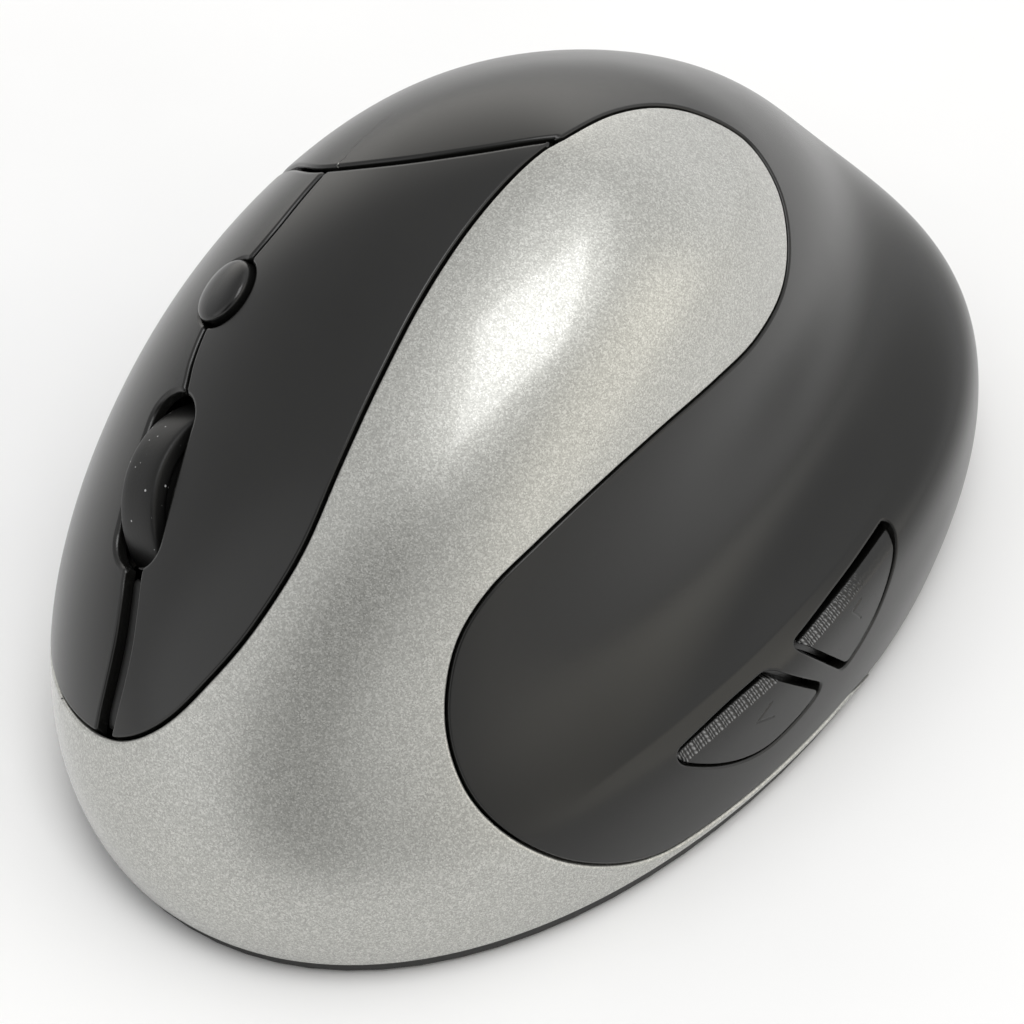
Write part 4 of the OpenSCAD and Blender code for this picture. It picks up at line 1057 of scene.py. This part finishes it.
# ------------------------------------------------- floor, light, camera ----
def add_floor():
    """Plain pale desk."""
    bpy.ops.mesh.primitive_grid_add(x_subdivisions=8, y_subdivisions=8, size=3.0)
    floor = bpy.context.object
    floor.name = "floor"
    m, nodes, links, b = new_material("floor_white")
    c = nodes.new("ShaderNodeTexCoord")
    n = add_noise(nodes, links, c, 30, 3, 0.5)
    tone = add_ramp(nodes, links, n.outputs["Fac"], [(0.3, grey(0.92)), (0.7, grey(0.94))])
    links.new(tone.outputs["Color"], b.inputs["Base Color"])
    b.inputs["Roughness"].default_value = 0.7
    floor.data.materials.append(m)


def add_soft_top():
    """Soft box above the mouse, aimed at its middle."""
    place, aim = Vector((0.18, -0.12, 0.78)), Vector((0, 0, 0.03))
    lamp = bpy.data.lights.new("soft_top", "AREA")
    lamp.shape = "RECTANGLE"
    lamp.size, lamp.size_y = 0.36, 0.5
    lamp.energy = 2.0
    obj = bpy.data.objects.new("soft_top", lamp)
    obj.location = place
    obj.rotation_euler = (aim - place).to_track_quat("-Z", "Y").to_euler()
    bpy.context.scene.collection.objects.link(obj)


# Lit and dim sides of the studio: where each lies, and its brightness by closeness to that direction
STUDIO = (
    ((0.23, 0.75, 0.62), [(0.55, grey(0.66)), (0.93, grey(1.0))]),
    ((-0.76, 0.64, 0.14), [(0.8, grey(0.5)), (0.96, grey(1.0, (1, 0.98, 0.94)))]),
    ((0.93, 0.23, 0.28), [(0.8, grey(0.5)), (0.96, grey(1.0, (1, 0.97, 0.9)))]),
    ((-0.32, -0.87, 0.37), [(0.86, grey(0.6)), (0.96, grey(1.0))]),
    ((0.29, -0.86, 0.42), [(0.88, grey(1.0)), (0.98, grey(0.22))]),
)


def add_world():
    """White studio: brighter behind, at both sides and in front, dim below the camera."""
    world = bpy.data.worlds.new("studio")
    world.use_nodes = True
    nodes, links = world.node_tree.nodes, world.node_tree.links
    back = nodes["Background"]
    c = nodes.new("ShaderNodeTexCoord")
    xyz = nodes.new("ShaderNodeSeparateXYZ")
    links.new(c.outputs["Generated"], xyz.inputs["Vector"])
    shade = add_ramp(nodes, links, xyz.outputs["Z"],
                     [(0.0, grey(0.95)), (1.0, grey(0.9)), (0.2, grey(0.95)), (0.45, grey(0.75)),
                      (0.72, grey(0.7)), (0.87, grey(0.9))]).outputs["Color"]
    for toward, stops in STUDIO:
        dot = nodes.new("ShaderNodeVectorMath")
        dot.operation = "DOT_PRODUCT"
        dot.inputs[1].default_value = Vector(toward).normalized()
        links.new(c.outputs["Generated"], dot.inputs[0])
        ramp = add_ramp(nodes, links, dot.outputs["Value"], stops)
        shade = new_mix(nodes, links, 1.0, shade, ramp.outputs["Color"], "MULTIPLY")
    links.new(shade, back.inputs["Color"])
    back.inputs["Strength"].default_value = 8.4
    bpy.context.scene.world = world


def add_camera():
    """Camera at the photograph's angle, with a long lens and a small shift."""
    azimuth, elevation, distance = math.radians(36), math.radians(47), 0.56
    back = Vector((math.sin(azimuth) * math.cos(elevation), -math.cos(azimuth) * math.cos(elevation),
                   math.sin(elevation)))
    target = Vector((0, 0, 0.02))
    data = bpy.data.cameras.new("camera")
    cam = bpy.data.objects.new("camera", data)
    bpy.context.scene.collection.objects.link(cam)
    cam.location = target + back * distance
    cam.rotation_euler = (-back).to_track_quat("-Z", "Y").to_euler()
    data.sensor_width = 36
    data.lens = 194.906
    data.shift_x, data.shift_y = -0.00781, -0.05273
    data.clip_start = 0.01
    bpy.context.scene.camera = cam


add_floor()
add_world()
add_soft_top()
add_camera()
bpy.context.scene.view_settings.view_transform = "Standard"
